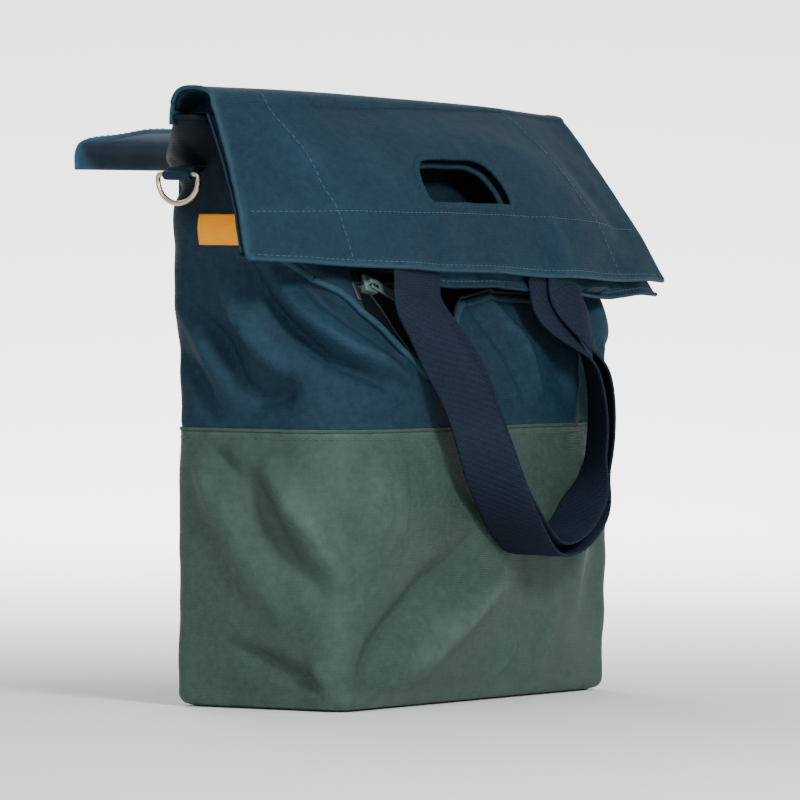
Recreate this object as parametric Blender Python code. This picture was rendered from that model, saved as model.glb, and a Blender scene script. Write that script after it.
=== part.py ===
"""Fold-over shopper pannier bag: a soft two-colour bag that hangs on a bicycle rack by two hooks.

Frame: metres, +Z up, origin at the centre of the base. +X is the bag's width (towards the front of
the bicycle), -Y is the outer face with the folded flap, +Y is the back face with the hooks.
"""
import math

import bmesh
import bpy
from mathutils import Matrix, Vector

# ---- driving dimensions -------------------------------------------------------------------------
BASE_WIDTH = 0.292          # bag across the base, along X
BASE_DEPTH = 0.1155         # bag front to back at the base
FLAP_WIDTH = 0.408          # the flattened top is half the bag's girth
SEAM_Z = 0.157              # green tub ends, navy body begins
SHOULDER_Z = 0.205          # above this the front panel leans back
BACK_BREAK_Z = 0.318        # the stiffened back is upright to here
MOUTH_Z = 0.333             # rim of the mouth, under the fold
MOUTH_FRONT_Y = 0.006
MOUTH_BACK_Y = 0.0265
FABRIC = 0.0015             # coated polyester with its lining
CORNER_RADIUS = 0.012
GAP = 0.0003                # clearance between pieces that touch

FOLD_FRONT = (-0.0035, 0.338)    # (y, z) where the folded flap starts down the front
FLAP_HEM = (-0.058, 0.2475)      # (y, z) of the flap's hem
LAYER_SPACING = 0.0065           # between the two fabric layers of the flap
INNER_LAYER_LENGTH = 0.1050
HAND_HOLE_WIDTH = 0.090
HAND_HOLE_HEIGHT = 0.030
HAND_HOLE_FROM_HEM = 0.053       # hem to the hole's middle

STRAP_WIDTH = 0.032              # handle webbing
STRAP_THICKNESS = 0.002
SEWN_END = 0.0018                # webbing pressed flat inside the hem
REAR_HANDLE_X = 0.080            # half spacing of the rear panel's handle
FRONT_HANDLE_X = 0.062           # half spacing of the front panel's handle
HANDLE_AXIS = (-0.0585, 0.2415)  # (y, z) of the line where the handles bend out of the hem

ZIP_HALF_LENGTH = 0.115
ZIP_CENTRE_Z = 0.236
ZIP_MOUTH = 0.025                # gaping height of the pocket's mouth, along the panel
SLIDER_X = -0.098
POCKET_DEPTH = 0.016
POCKET_FLOOR_Z = 0.098
POCKET_TOP_Z = 0.2535
LINING = 0.0010

HOOK_X = 0.085                   # half spacing of the rack hooks
HOOK_WIDTH = 0.040
RAIL_THROAT = 0.016              # widest rack rail that fits
HOOK_PLATE = 0.004
HOOK_TOP_Z = 0.3219
HOOK_BOTTOM_Z = 0.262
SADDLE_Z = 0.3172
LOCK_AXIS = (0.0665, 0.2790)     # (y, z) of the lock lever's pin
LOCK_WIDTH = 0.017
RIVET_Z = 0.2676
RIVET_HOLE = 0.0024              # radius
PIN_BORE = 0.0018                # radius

COVER_HALF_WIDTH = 0.115         # fabric cover of the hooks
COVER_THICKNESS = 0.0024
COVER_REACH = 0.060              # lying back over the rack
CLOSURE_LOW_Z = 0.238
CLOSURE_HEIGHT = 0.020

BOARD = 0.002                    # plastic stiffening boards
D_RING_WIRE = 0.003
D_RING_WIDTH = 0.030
D_RING_Y = 0.035
D_RING_Z = 0.3015
TAB_TOP_Z = 0.317
LABEL_LOW_Z = 0.262
LABEL_HIGH_Z = 0.279
LABEL_FRONT_Y = -0.006
LABEL_BACK_Y = 0.032

HALF_GIRTH = BASE_WIDTH + BASE_DEPTH


# ---- materials ----------------------------------------------------------------------------------
def material(name, colour, roughness, metallic=0.0):
    mat = bpy.data.materials.new(name)
    mat.use_nodes = True
    shader = mat.node_tree.nodes["Principled BSDF"]
    shader.inputs["Base Color"].default_value = (*colour, 1.0)
    shader.inputs["Roughness"].default_value = roughness
    shader.inputs["Metallic"].default_value = metallic
    return mat


def make_materials():
    return {
        "navy": material("navy_fabric", (0.030, 0.060, 0.090), 0.75),
        "green": material("green_fabric", (0.120, 0.170, 0.150), 0.80),
        "webbing": material("navy_webbing", (0.016, 0.026, 0.045), 0.85),
        "binding": material("navy_binding", (0.022, 0.048, 0.072), 0.80),
        "lining": material("dark_lining", (0.012, 0.014, 0.020), 0.85),
        "coil": material("zip_coil", (0.030, 0.050, 0.075), 0.50),
        "slider": material("zip_slider", (0.300, 0.380, 0.370), 0.40, 0.70),
        "steel": material("steel", (0.620, 0.560, 0.480), 0.28, 1.0),
        "hook": material("black_plastic", (0.015, 0.015, 0.017), 0.45),
        "board": material("grey_board", (0.060, 0.060, 0.065), 0.60),
        "label": material("orange_label", (0.800, 0.330, 0.030), 0.70),
    }


# ---- building blocks ----------------------------------------------------------------------------
def finish_object(name, bm, mat, smooth_angle=None, at=(0.0, 0.0, 0.0), turn=None, parent=None):
    bmesh.ops.recalc_face_normals(bm, faces=bm.faces)
    mesh = bpy.data.meshes.new(name)
    bm.to_mesh(mesh)
    bm.free()
    mesh.materials.append(mat)
    if smooth_angle is not None:
        mesh.shade_smooth()
        mesh.set_sharp_from_angle(angle=math.radians(smooth_angle))
    obj = bpy.data.objects.new(name, mesh)
    bpy.context.scene.collection.objects.link(obj)
    obj.location = at
    if turn is not None:
        obj.rotation_euler = turn
    if parent is not None:
        obj.parent = parent
    return obj


def empty(name, at, turn=(0.0, 0.0, 0.0)):
    holder = bpy.data.objects.new(name, None)
    holder.location = at
    holder.rotation_euler = turn
    bpy.context.scene.collection.objects.link(holder)
    return holder


def box_mesh(low, high):
    bm = bmesh.new()
    size = Vector(high) - Vector(low)
    middle = (Vector(high) + Vector(low)) / 2
    bmesh.ops.create_cube(bm, size=1.0, matrix=Matrix.Translation(middle) @ Matrix.Diagonal((*size, 1.0)))
    return bm


def prism_mesh(outline, start, end, place):
    """Extrude a closed 2-D outline; place(a, b, t) turns outline point (a, b) at height t into 3-D."""
    bm = bmesh.new()
    low = [bm.verts.new(place(a, b, start)) for a, b in outline]
    high = [bm.verts.new(place(a, b, end)) for a, b in outline]
    bm.faces.new(low)
    bm.faces.new(high)
    count = len(outline)
    for i in range(count):
        j = (i + 1) % count
        bm.faces.new((low[i], low[j], high[j], high[i]))
    return bm


def along_x(a, b, t):
    return (t, a, b)


def along_y(a, b, t):
    return (a, t, b)


def along_z(a, b, t):
    return (a, b, t)


def thick_path(points, thickness):
    """Closed outline of an open 2-D path given a thickness, mitred at its bends."""
    half = thickness / 2
    normals = []
    for i, _ in enumerate(points):
        before = Vector(points[max(i - 1, 0)])
        after = Vector(points[min(i + 1, len(points) - 1)])
        here = Vector(points[i])
        d1 = (here - before).normalized() if i > 0 else (after - here).normalized()
        d2 = (after - here).normalized() if i < len(points) - 1 else d1
        middle = (d1 + d2).normalized()
        mitre = half / max(0.3, middle.dot(d1))
        normals.append(Vector((-middle.y, middle.x)) * mitre)
    left = [tuple(Vector(p) + n) for p, n in zip(points, normals)]
    right = [tuple(Vector(p) - n) for p, n in zip(points, normals)]
    return left + right[::-1]


def arc(centre, radius, start_deg, end_deg, steps):
    points = []
    for i in range(steps + 1):
        angle = math.radians(start_deg + (end_deg - start_deg) * i / steps)
        points.append((centre[0] + radius * math.cos(angle), centre[1] + radius * math.sin(angle)))
    return points


def cylinder_mesh(centre, axis, radius, length, sides):
    bm = bmesh.new()
    turn = Vector((0, 0, 1)).rotation_difference(Vector(axis)).to_matrix().to_4x4()
    bmesh.ops.create_cone(bm, cap_ends=True, segments=sides, radius1=radius, radius2=radius, depth=length,
                          matrix=Matrix.Translation(centre) @ turn)
    return bm


def add_mesh(bm, other):
    """Copy the geometry of one bmesh into another as a separate lump."""
    scratch = bpy.data.meshes.new("scratch")
    other.to_mesh(scratch)
    other.free()
    bm.from_mesh(scratch)
    bpy.data.meshes.remove(scratch)


def cut(obj, cutter_bm, name):
    """Subtract a cutter from an object with an exact Boolean modifier."""
    bmesh.ops.recalc_face_normals(cutter_bm, faces=cutter_bm.faces)
    mesh = bpy.data.meshes.new(name)
    cutter_bm.to_mesh(mesh)
    cutter_bm.free()
    cutter = bpy.data.objects.new(name, mesh)
    bpy.context.scene.collection.objects.link(cutter)
    cutter.hide_render = True
    cutter.display_type = "WIRE"
    modifier = obj.modifiers.new(name, "BOOLEAN")
    modifier.operation = "DIFFERENCE"
    modifier.object = cutter
    return cutter


def join(obj, extra_bm, name):
    """Join an extra lump to an object with an exact Boolean modifier."""
    extra = cut(obj, extra_bm, name)
    obj.modifiers[name].operation = "UNION"
    return extra


def smooth_route(points, steps):
    """Catmull-Rom curve through the points, with the same number of steps in every span."""
    route = [Vector(p) for p in points]
    route = [route[0] * 2 - route[1]] + route + [route[-1] * 2 - route[-2]]
    curve = []
    for i in range(1, len(route) - 2):
        p0, p1, p2, p3 = route[i - 1:i + 3]
        for k in range(steps):
            t = k / steps
            curve.append(0.5 * (2 * p1 + (p2 - p0) * t + (2 * p0 - 5 * p1 + 4 * p2 - p3) * t * t
                                + (3 * p1 - p0 - 3 * p2 + p3) * t ** 3))
    curve.append(route[-2])
    return curve


# ---- the bag's body -----------------------------------------------------------------------------
def front_y(z):
    lean = max(0.0, (z - SHOULDER_Z) / (MOUTH_Z - SHOULDER_Z))
    return -BASE_DEPTH / 2 + lean * (MOUTH_FRONT_Y + BASE_DEPTH / 2)


def back_y(z):
    lean = max(0.0, (z - BACK_BREAK_Z) / (MOUTH_Z - BACK_BREAK_Z))
    return BASE_DEPTH / 2 + lean * (MOUTH_BACK_Y - BASE_DEPTH / 2)


def half_width(z):
    """The girth stays the same, so the bag widens where it flattens."""
    depth = back_y(z) - front_y(z)
    rounding = 0.004 * min(1.0, max(0.0, (BASE_DEPTH - depth) / 0.03))
    return (HALF_GIRTH - depth) / 2 + rounding


def body_ring(z, inset, corner_steps=3):
    radius = min(CORNER_RADIUS, (back_y(z) - front_y(z)) / 2) - inset * 0.9
    wide = half_width(z) - inset
    front = front_y(z) + inset
    back = back_y(z) - inset
    corners = ((wide, back, 0), (-wide, back, 90), (-wide, front, 180), (wide, front, 270))
    ring = []
    for x, y, start in corners:
        centre = (x - math.copysign(radius, x), y - radius if y == back else y + radius)
        ring += [(a, b, z) for a, b in arc(centre, radius, start, start + 90, corner_steps)]
    return ring


def shell_mesh(levels, floor):
    """A fabric tube through the levels, closed below when floor is the thickness of a bottom."""
    bm = bmesh.new()
    outer = [[bm.verts.new(p) for p in body_ring(z, 0.0)] for z in levels]
    inner_levels = [levels[0] + floor] + list(levels[1:])
    inner = [[bm.verts.new(p) for p in body_ring(z, FABRIC)] for z in inner_levels]
    count = len(outer[0])

    def skin(rings):
        for low, high in zip(rings, rings[1:]):
            for i in range(count):
                j = (i + 1) % count
                bm.faces.new((low[i], low[j], high[j], high[i]))

    def bridge(a, b):
        for i in range(count):
            j = (i + 1) % count
            bm.faces.new((a[i], a[j], b[j], b[i]))

    skin(outer)
    skin(inner)
    bridge(outer[-1], inner[-1])
    if floor > 0:
        bm.faces.new(outer[0])
        bm.faces.new(inner[0])
    else:
        bridge(outer[0], inner[0])
    return bm


def rivet_places():
    return [(side * HOOK_X + dx, RIVET_Z) for side in (-1, 1) for dx in (-0.014, 0.014)]


def rivet_hole_mesh(radius):
    bm = bmesh.new()
    for x, z in rivet_places():
        add_mesh(bm, cylinder_mesh((x, BASE_DEPTH / 2, z), (0, 1, 0), radius, 0.024, 12))
    return bm


def panel_frame():
    """Middle of the front pocket's zip on the leaning front panel, and the panel's lean angle."""
    lean = math.atan2(MOUTH_FRONT_Y + BASE_DEPTH / 2, MOUTH_Z - SHOULDER_Z)
    return (0.0, front_y(ZIP_CENTRE_Z), ZIP_CENTRE_Z), (-lean, 0.0, 0.0)


def make_shells(mats):
    finish_object("lower_shell", shell_mesh((0.0, 0.060, SEAM_Z), FABRIC), mats["green"], 30)
    upper_levels = (SEAM_Z + GAP, SHOULDER_Z, 0.246, 0.285, BACK_BREAK_Z, MOUTH_Z)
    upper = finish_object("upper_shell", shell_mesh(upper_levels, 0.0), mats["navy"], 30)
    place, turn = panel_frame()
    slot = box_mesh((-ZIP_HALF_LENGTH, -0.006, -ZIP_MOUTH / 2), (ZIP_HALF_LENGTH, 0.006, ZIP_MOUTH / 2))
    slot_cutter = cut(upper, slot, "pocket_slot_cutter")
    slot_cutter.location = place
    slot_cutter.rotation_euler = turn
    cut(upper, rivet_hole_mesh(RIVET_HOLE), "rivet_hole_cutter")


def make_boards(mats):
    inside = BASE_DEPTH / 2 - FABRIC
    inset = FABRIC + 0.002
    outline = [(x, y) for x, y, _ in body_ring(0.0, inset, 2)]
    low = FABRIC + GAP
    finish_object("bottom_board", prism_mesh(outline, low, low + BOARD, along_z), mats["board"])
    back_low = (-0.128, inside - GAP - BOARD, low + BOARD + GAP)
    board = finish_object("back_stiffener", box_mesh(back_low, (0.128, inside - GAP, 0.312)), mats["board"])
    cut(board, rivet_hole_mesh(RIVET_HOLE), "board_hole_cutter")
    plate_back = inside - 2 * GAP - BOARD
    plate_face = plate_back - 0.0015
    plate = box_mesh((-0.112, plate_face, RIVET_Z - 0.012), (0.112, plate_back, RIVET_Z + 0.012))
    strip = finish_object("hook_backing_strip", plate, mats["steel"])
    cut(strip, rivet_hole_mesh(RIVET_HOLE), "strip_hole_cutter")
    return plate_face


# ---- front pocket with its zip ------------------------------------------------------------------
def make_pocket(mats):
    place, turn = panel_frame()
    # lining pouch behind the slot, open only there
    inner_front = front_y(0.0) + FABRIC + GAP
    lean = math.tan(-turn[0])
    panel_offset = FABRIC / math.cos(turn[0]) + GAP
    top_front = front_y(POCKET_TOP_Z) + panel_offset
    bend_back = inner_front + POCKET_DEPTH + lean * 0.012
    bend_z = SHOULDER_Z + 0.012

    def pouch_mesh(inset):
        outline = [(inner_front + inset, POCKET_FLOOR_Z + inset), (inner_front + inset, SHOULDER_Z),
                   (top_front + inset, POCKET_TOP_Z - inset),
                   (top_front + POCKET_DEPTH - inset, POCKET_TOP_Z - inset), (bend_back - inset, bend_z),
                   (inner_front + POCKET_DEPTH - inset, POCKET_FLOOR_Z + inset)]
        half = ZIP_HALF_LENGTH + 0.006 - inset
        return prism_mesh(outline, -half, half, along_x)

    pouch = finish_object("pocket_lining", pouch_mesh(0.0), mats["lining"])
    cut(pouch, pouch_mesh(LINING), "lining_hollow_cutter")
    slot = box_mesh((-ZIP_HALF_LENGTH, -0.006, -ZIP_MOUTH / 2), (ZIP_HALF_LENGTH, 0.0045, ZIP_MOUTH / 2))
    slot_cutter = cut(pouch, slot, "lining_slot_cutter")
    slot_cutter.location = place
    slot_cutter.rotation_euler = turn

    # zip tapes and coils lie in the slot, in the panel's own plane
    zip_frame = empty("zip_frame", place, turn)
    edge = ZIP_MOUTH / 2 - GAP
    tape_half = ZIP_HALF_LENGTH - GAP
    for name, side in (("upper", 1), ("lower", -1)):
        near, far = sorted((side * edge, side * 0.0060))
        tape = box_mesh((-tape_half, 0.0003, near), (tape_half, 0.0012, far))
        finish_object(f"zip_tape_{name}", tape, mats["webbing"], parent=zip_frame)
        near, far = sorted((side * 0.0057, side * 0.0036))
        coil = box_mesh((-0.1100, -0.0004, near), (0.1100, 0.0018, far))
        finish_object(f"zip_coil_{name}", coil, mats["coil"], parent=zip_frame)
    for name, side in (("left", -1), ("right", 1)):
        near, far = sorted((side * 0.1104, side * 0.1140))
        stop = box_mesh((near, -0.0008, -0.0057), (far, 0.0020, 0.0057))
        finish_object(f"zip_stop_{name}", stop, mats["slider"], parent=zip_frame)

    # slider: a C-shaped body round the upper coil, with an arched bridge on its face
    plates = [(-0.0026, -0.0012), (-0.0026, 0.0088), (-0.0008, 0.0088), (-0.0008, 0.0031),
              (0.0022, 0.0031), (0.0022, 0.0088), (0.0034, 0.0088), (0.0034, -0.0012)]
    body = prism_mesh(plates, SLIDER_X - 0.0055, SLIDER_X + 0.0055, along_x)
    arch = [(-0.0036, -0.0024), (-0.0036, -0.0060), (0.0036, -0.0060), (0.0036, -0.0024),
            (0.0022, -0.0024), (0.0022, -0.0048), (-0.0022, -0.0048), (-0.0022, -0.0024)]
    bridge = prism_mesh(arch, 0.0022, 0.0050, along_z)
    slider = finish_object("zip_slider", body, mats["slider"], parent=zip_frame)
    bridge_part = join(slider, bridge, "zip_slider_bridge")
    bridge_part.location = (SLIDER_X, 0.0, 0.0)
    bridge_part.parent = zip_frame

    # puller: a flat tab with a window; its end bar turns under the bridge
    bar_y = -0.0037
    puller_axis = empty("zip_puller_axis", (SLIDER_X, bar_y, 0.0036))
    puller_axis.parent = zip_frame
    tab = [(-0.0007, -0.0036), (0.0200, -0.0036), (0.0230, -0.0018), (0.0230, 0.0018), (0.0200, 0.0036),
           (-0.0007, 0.0036)]
    tab_bm = prism_mesh(tab, -0.0006, 0.0006, along_y)
    puller = finish_object("zip_puller", tab_bm, mats["slider"], parent=puller_axis)
    window = box_mesh((0.0007, -0.004, -0.0022), (0.0058, 0.004, 0.0022))
    window_cutter = cut(puller, window, "puller_window_cutter")
    window_cutter.parent = puller_axis


# ---- flap ---------------------------------------------------------------------------------------
FLAP_DOWN = (Vector(FLAP_HEM) - Vector(FOLD_FRONT)).normalized()
FLAP_OUT = Vector((FLAP_DOWN.y, -FLAP_DOWN.x))
FLAP_LENGTH = (Vector(FLAP_HEM) - Vector(FOLD_FRONT)).length


def on_flap(down, out):
    """(y, z) at a distance down the flap from the fold, and out of its outer face."""
    point = Vector(FOLD_FRONT) + FLAP_DOWN * down + FLAP_OUT * out
    return point.x, point.y


def flap_place(x, down, out):
    """3-D point on the flap from its width, its distance down, and its height off the outer face."""
    return (x, *on_flap(down, out))


def hand_hole_outline(grow):
    """Hole with a flat lower edge and an arched upper edge, as (x, down) points."""
    half = HAND_HOLE_WIDTH / 2 + grow
    middle = FLAP_LENGTH - HAND_HOLE_FROM_HEM
    low = middle + HAND_HOLE_HEIGHT / 2 + grow
    high = middle - HAND_HOLE_HEIGHT / 2 - grow
    big = 0.022 + grow
    small = 0.006 + grow
    points = arc((half - small, low - small), small, 90, 0, 3)
    points += arc((half - big, high + big), big, 0, -90, 5)
    points += arc((-half + big, high + big), big, -90, -180, 5)
    points += arc((-half + small, low - small), small, 180, 90, 3)
    return points


def flap_piece_mesh(outline, out_low, out_high):
    return prism_mesh(outline, out_low, out_high, flap_place)


def strip_on_flap(x_low, x_high, down_low, down_high, out_low, out_high):
    outline = [(x_low, down_low), (x_high, down_low), (x_high, down_high), (x_low, down_high)]
    return flap_piece_mesh(outline, out_low, out_high)


def make_flap(mats):
    half = FLAP_WIDTH / 2
    thick = 0.0016
    roll = [(MOUTH_BACK_Y, 0.3350), (MOUTH_BACK_Y - 0.0008, 0.3400), (0.0205, 0.3449), (0.0115, 0.3470),
            (0.0025, 0.3440), FOLD_FRONT, FLAP_HEM]
    outer_bm = prism_mesh(thick_path(roll, thick), -half, half, along_x)
    outer = finish_object("flap_outer", outer_bm, mats["navy"], 40)
    inner_line = [on_flap(0.0, -LAYER_SPACING), on_flap(INNER_LAYER_LENGTH, -LAYER_SPACING)]
    inner_mesh = prism_mesh(thick_path(inner_line, thick), -half + 0.002, half - 0.002, along_x)
    inner = finish_object("flap_inner", inner_mesh, mats["navy"])
    cut(outer, flap_piece_mesh(hand_hole_outline(0.0), -0.004, 0.004), "outer_hand_hole_cutter")
    inner_cutter = flap_piece_mesh(hand_hole_outline(0.0), -LAYER_SPACING - 0.004, -LAYER_SPACING + 0.003)
    cut(inner, inner_cutter, "inner_hand_hole_cutter")

    # bound edges of the hand hole, one on each layer
    face = thick / 2 + GAP
    for name, low in (("outer", face), ("inner", -LAYER_SPACING - face - 0.0012)):
        ring_bm = flap_piece_mesh(hand_hole_outline(0.004), low, low + 0.0012)
        ring = finish_object(f"hand_hole_binding_{name}", ring_bm, mats["binding"])
        hole_bm = flap_piece_mesh(hand_hole_outline(0.0), low - 0.002, low + 0.003)
        cut(ring, hole_bm, f"binding_{name}_cutter")

    # the side seams that close the flap's ends between its layers
    for name, side in (("left", -1), ("right", 1)):
        x_low, x_high = sorted((side * (half - 0.0022), side * (half - 0.0008)))
        seam = strip_on_flap(x_low, x_high, 0.004, FLAP_LENGTH, -LAYER_SPACING + face, -face)
        finish_object(f"flap_side_seam_{name}", seam, mats["navy"])

    # sewn ends of the handles, between the layers
    sewn_low = FLAP_LENGTH - 0.030
    rear_low = -face - SEWN_END
    front_low = -LAYER_SPACING + face
    for handle, spread, low in (("rear", REAR_HANDLE_X, rear_low), ("front", FRONT_HANDLE_X, front_low)):
        for name, side in (("left", -1), ("right", 1)):
            middle = side * spread
            end = strip_on_flap(middle - STRAP_WIDTH / 2, middle + STRAP_WIDTH / 2, sewn_low,
                                FLAP_LENGTH - 0.001, low, low + SEWN_END)
            finish_object(f"{handle}_handle_end_{name}", end, mats["webbing"])


# ---- handles ------------------------------------------------------------------------------------
REAR_ROUTE = ((-0.0805, -0.0590, 0.2415), (-0.0800, -0.0620, 0.2280), (-0.0700, -0.0720, 0.2020),
              (-0.0540, -0.0800, 0.1760), (-0.0290, -0.0840, 0.1310), (-0.0060, -0.0830, 0.1050),
              (0.0265, -0.0790, 0.0850), (0.0620, -0.0785, 0.0880), (0.0900, -0.0785, 0.1080),
              (0.1060, -0.0780, 0.1370), (0.1115, -0.0775, 0.1700), (0.1060, -0.0750, 0.1980),
              (0.0880, -0.0700, 0.2240), (0.0812, -0.0650, 0.2365), (0.0805, -0.0610, 0.2415))
FRONT_ROUTE = ((-0.0620, -0.0556, 0.2415), (-0.0616, -0.0590, 0.2280), (-0.0560, -0.0700, 0.2030),
               (-0.0440, -0.0765, 0.1790), (-0.0215, -0.0785, 0.1350), (-0.0010, -0.0785, 0.1110),
               (0.0285, -0.0785, 0.0915), (0.0590, -0.0785, 0.0945), (0.0830, -0.0785, 0.1120),
               (0.0975, -0.0785, 0.1385), (0.1010, -0.0775, 0.1700), (0.0930, -0.0740, 0.1990),
               (0.0680, -0.0630, 0.2270), (0.0620, -0.0576, 0.2415))
STRAP_FACING = ((0.0, (0.0, -1.0, 0.0)), (0.20, (-0.45, -0.9, 0.0)), (0.38, (-0.9, -0.3, -0.3)),
                (0.52, (0.0, 0.05, -1.0)), (0.66, (0.9, 0.15, -0.3)), (0.82, (0.8, -0.5, 0.1)),
                (1.0, (0.0, -1.0, 0.0)))


def facing_at(t):
    for (t0, n0), (t1, n1) in zip(STRAP_FACING, STRAP_FACING[1:]):
        if t <= t1:
            k = (t - t0) / (t1 - t0)
            k = k * k * (3 - 2 * k)
            return Vector(n0).lerp(Vector(n1), k).normalized()
    return Vector(STRAP_FACING[-1][1])


def ribbon_mesh(centres):
    """A flat strap that turns along its route, from facing out at its ends to facing down below."""
    bm = bmesh.new()
    lengths = [0.0]
    for a, b in zip(centres, centres[1:]):
        lengths.append(lengths[-1] + (b - a).length)
    rings = []
    for i, centre in enumerate(centres):
        along = (centres[min(i + 1, len(centres) - 1)] - centres[max(i - 1, 0)]).normalized()
        facing = facing_at(lengths[i] / lengths[-1])
        across = along.cross(facing).normalized()
        normal = across.cross(along).normalized()
        side = across * STRAP_WIDTH / 2
        rise = normal * STRAP_THICKNESS / 2
        rings.append([bm.verts.new(centre + side + rise), bm.verts.new(centre - side + rise),
                      bm.verts.new(centre - side - rise), bm.verts.new(centre + side - rise)])
    for a, b in zip(rings, rings[1:]):
        for i in range(4):
            j = (i + 1) % 4
            bm.faces.new((a[i], a[j], b[j], b[i]))
    bm.faces.new(rings[0])
    bm.faces.new(rings[-1])
    return bm


def make_handles(mats):
    axis = Vector((0.0, *HANDLE_AXIS))
    for name, route in (("handle_rear", REAR_ROUTE), ("handle_front", FRONT_ROUTE)):
        centres = [p - axis for p in smooth_route(route, 4)]
        finish_object(name, ribbon_mesh(centres), mats["webbing"], 50, at=axis)


# ---- D-rings and label --------------------------------------------------------------------------
def d_ring_mesh():
    """Wire ring in the YZ plane: a straight bar on the X = 0 pivot line with a round bow below."""
    mean = (D_RING_WIDTH - D_RING_WIRE) / 2
    drop = 0.0030
    path = [(-mean, 0.0), (mean, 0.0)]
    path += arc((0.0, -drop), mean, 0, -180, 12)
    sides = 8
    bm = bmesh.new()
    rings = []
    count = len(path)
    for i in range(count):
        here = Vector(path[i])
        d1 = (here - Vector(path[i - 1])).normalized()
        d2 = (Vector(path[(i + 1) % count]) - here).normalized()
        along = (d1 + d2).normalized()
        across = Vector((-along.y, along.x)) / max(0.5, along.dot(d1))
        ring = []
        for k in range(sides):
            angle = 2 * math.pi * k / sides
            flat = here + across * (D_RING_WIRE / 2 * math.cos(angle))
            ring.append(bm.verts.new((D_RING_WIRE / 2 * math.sin(angle), flat.x, flat.y)))
        rings.append(ring)
    for i in range(count):
        a, b = rings[i], rings[(i + 1) % count]
        for k in range(sides):
            m = (k + 1) % sides
            bm.faces.new((a[k], a[m], b[m], b[k]))
    return bm


def make_side_pieces(mats):
    bar_x = half_width(D_RING_Z) + 0.0044
    tab_half = 0.010
    for name, side in (("left", -1), ("right", 1)):
        place = (side * bar_x, D_RING_Y, D_RING_Z)
        finish_object(f"d_ring_{name}", d_ring_mesh(), mats["steel"], 60, at=place)
        # webbing tab: a loop round the ring's bar, running up the bag's side
        top_x = half_width(TAB_TOP_Z) + 0.0018
        outline = arc((bar_x, D_RING_Z), 0.0034, 160, 380, 8)
        outline += [(top_x + 0.0020, TAB_TOP_Z), (top_x, TAB_TOP_Z + 0.0006)]
        outline = [(side * x, z) for x, z in outline]
        tab_bm = prism_mesh(outline, D_RING_Y - tab_half, D_RING_Y + tab_half, along_y)
        tab = finish_object(f"d_ring_tab_{name}", tab_bm, mats["webbing"], 40)
        cut(tab, cylinder_mesh(place, (0, 1, 0), 0.0021, 0.040, 12), f"tab_{name}_hole_cutter")
    low_x = -half_width(LABEL_LOW_Z) - 0.0005
    high_x = -half_width(LABEL_HIGH_Z) - 0.0005
    outline = [(low_x, LABEL_LOW_Z), (high_x, LABEL_HIGH_Z), (high_x - 0.0009, LABEL_HIGH_Z),
               (low_x - 0.0009, LABEL_LOW_Z)]
    finish_object("side_label", prism_mesh(outline, LABEL_FRONT_Y, LABEL_BACK_Y, along_y), mats["label"])


# ---- rack hooks ---------------------------------------------------------------------------------
def hook_outline():
    """J-shaped side view of a hook as (y, z) points, its throat open downwards."""
    inner = BASE_DEPTH / 2 + GAP
    throat = inner + HOOK_PLATE
    tongue = throat + RAIL_THROAT
    outer = tongue + HOOK_PLATE
    soft = 0.0012
    points = [(inner, HOOK_BOTTOM_Z), (inner, HOOK_TOP_Z)]
    points += [(outer - 0.003, HOOK_TOP_Z), (outer, HOOK_TOP_Z - 0.003), (outer, 0.290),
               (outer + 0.002, 0.286), (outer, 0.2850), (tongue, 0.2890), (tongue, SADDLE_Z - soft),
               (tongue - soft, SADDLE_Z),
               (throat + soft, SADDLE_Z), (throat, SADDLE_Z - soft), (throat, HOOK_BOTTOM_Z)]
    return points


def ear_outline():
    """Ear that carries the lock lever's pin, as (y, z) points rooted in the hook's plate."""
    throat = BASE_DEPTH / 2 + GAP + HOOK_PLATE
    root = throat - 0.001
    pin_y, pin_z = LOCK_AXIS
    return [(root, pin_z - 0.007)] + arc((pin_y, pin_z), 0.0038, -70, 70, 5) + [(root, pin_z + 0.007)]


def lever_outline():
    """Lock lever as (y, z) points round its pin: an arm across the throat and a thumb tab below."""
    return (arc((0.0, 0.0), 0.0034, 95, 230, 5)
            + [(-0.0010, -0.0165), (0.0020, -0.0170), (0.0030, -0.0030), (0.0115, 0.0020), (0.0118, 0.0046),
               (0.0100, 0.0052)])


def spring_mesh():
    """Torsion spring: three turns of wire round the pin, along X."""
    turns, per_turn, sides = 3, 12, 6
    radius, pitch, wire = 0.0031, 0.0010, 0.0004
    bm = bmesh.new()
    rings = []
    total = turns * per_turn
    for i in range(total + 1):
        angle = 2 * math.pi * i / per_turn
        centre = Vector((pitch * i / per_turn, radius * math.cos(angle), radius * math.sin(angle)))
        outward = Vector((0.0, math.cos(angle), math.sin(angle)))
        ring = []
        for k in range(sides):
            spin = 2 * math.pi * k / sides
            ring.append(bm.verts.new(centre + outward * wire * math.cos(spin)
                                     + Vector((1.0, 0.0, 0.0)) * wire * math.sin(spin)))
        rings.append(ring)
    for a, b in zip(rings, rings[1:]):
        for k in range(sides):
            m = (k + 1) % sides
            bm.faces.new((a[k], a[m], b[m], b[k]))
    bm.faces.new(rings[0])
    bm.faces.new(rings[-1])
    return bm


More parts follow.
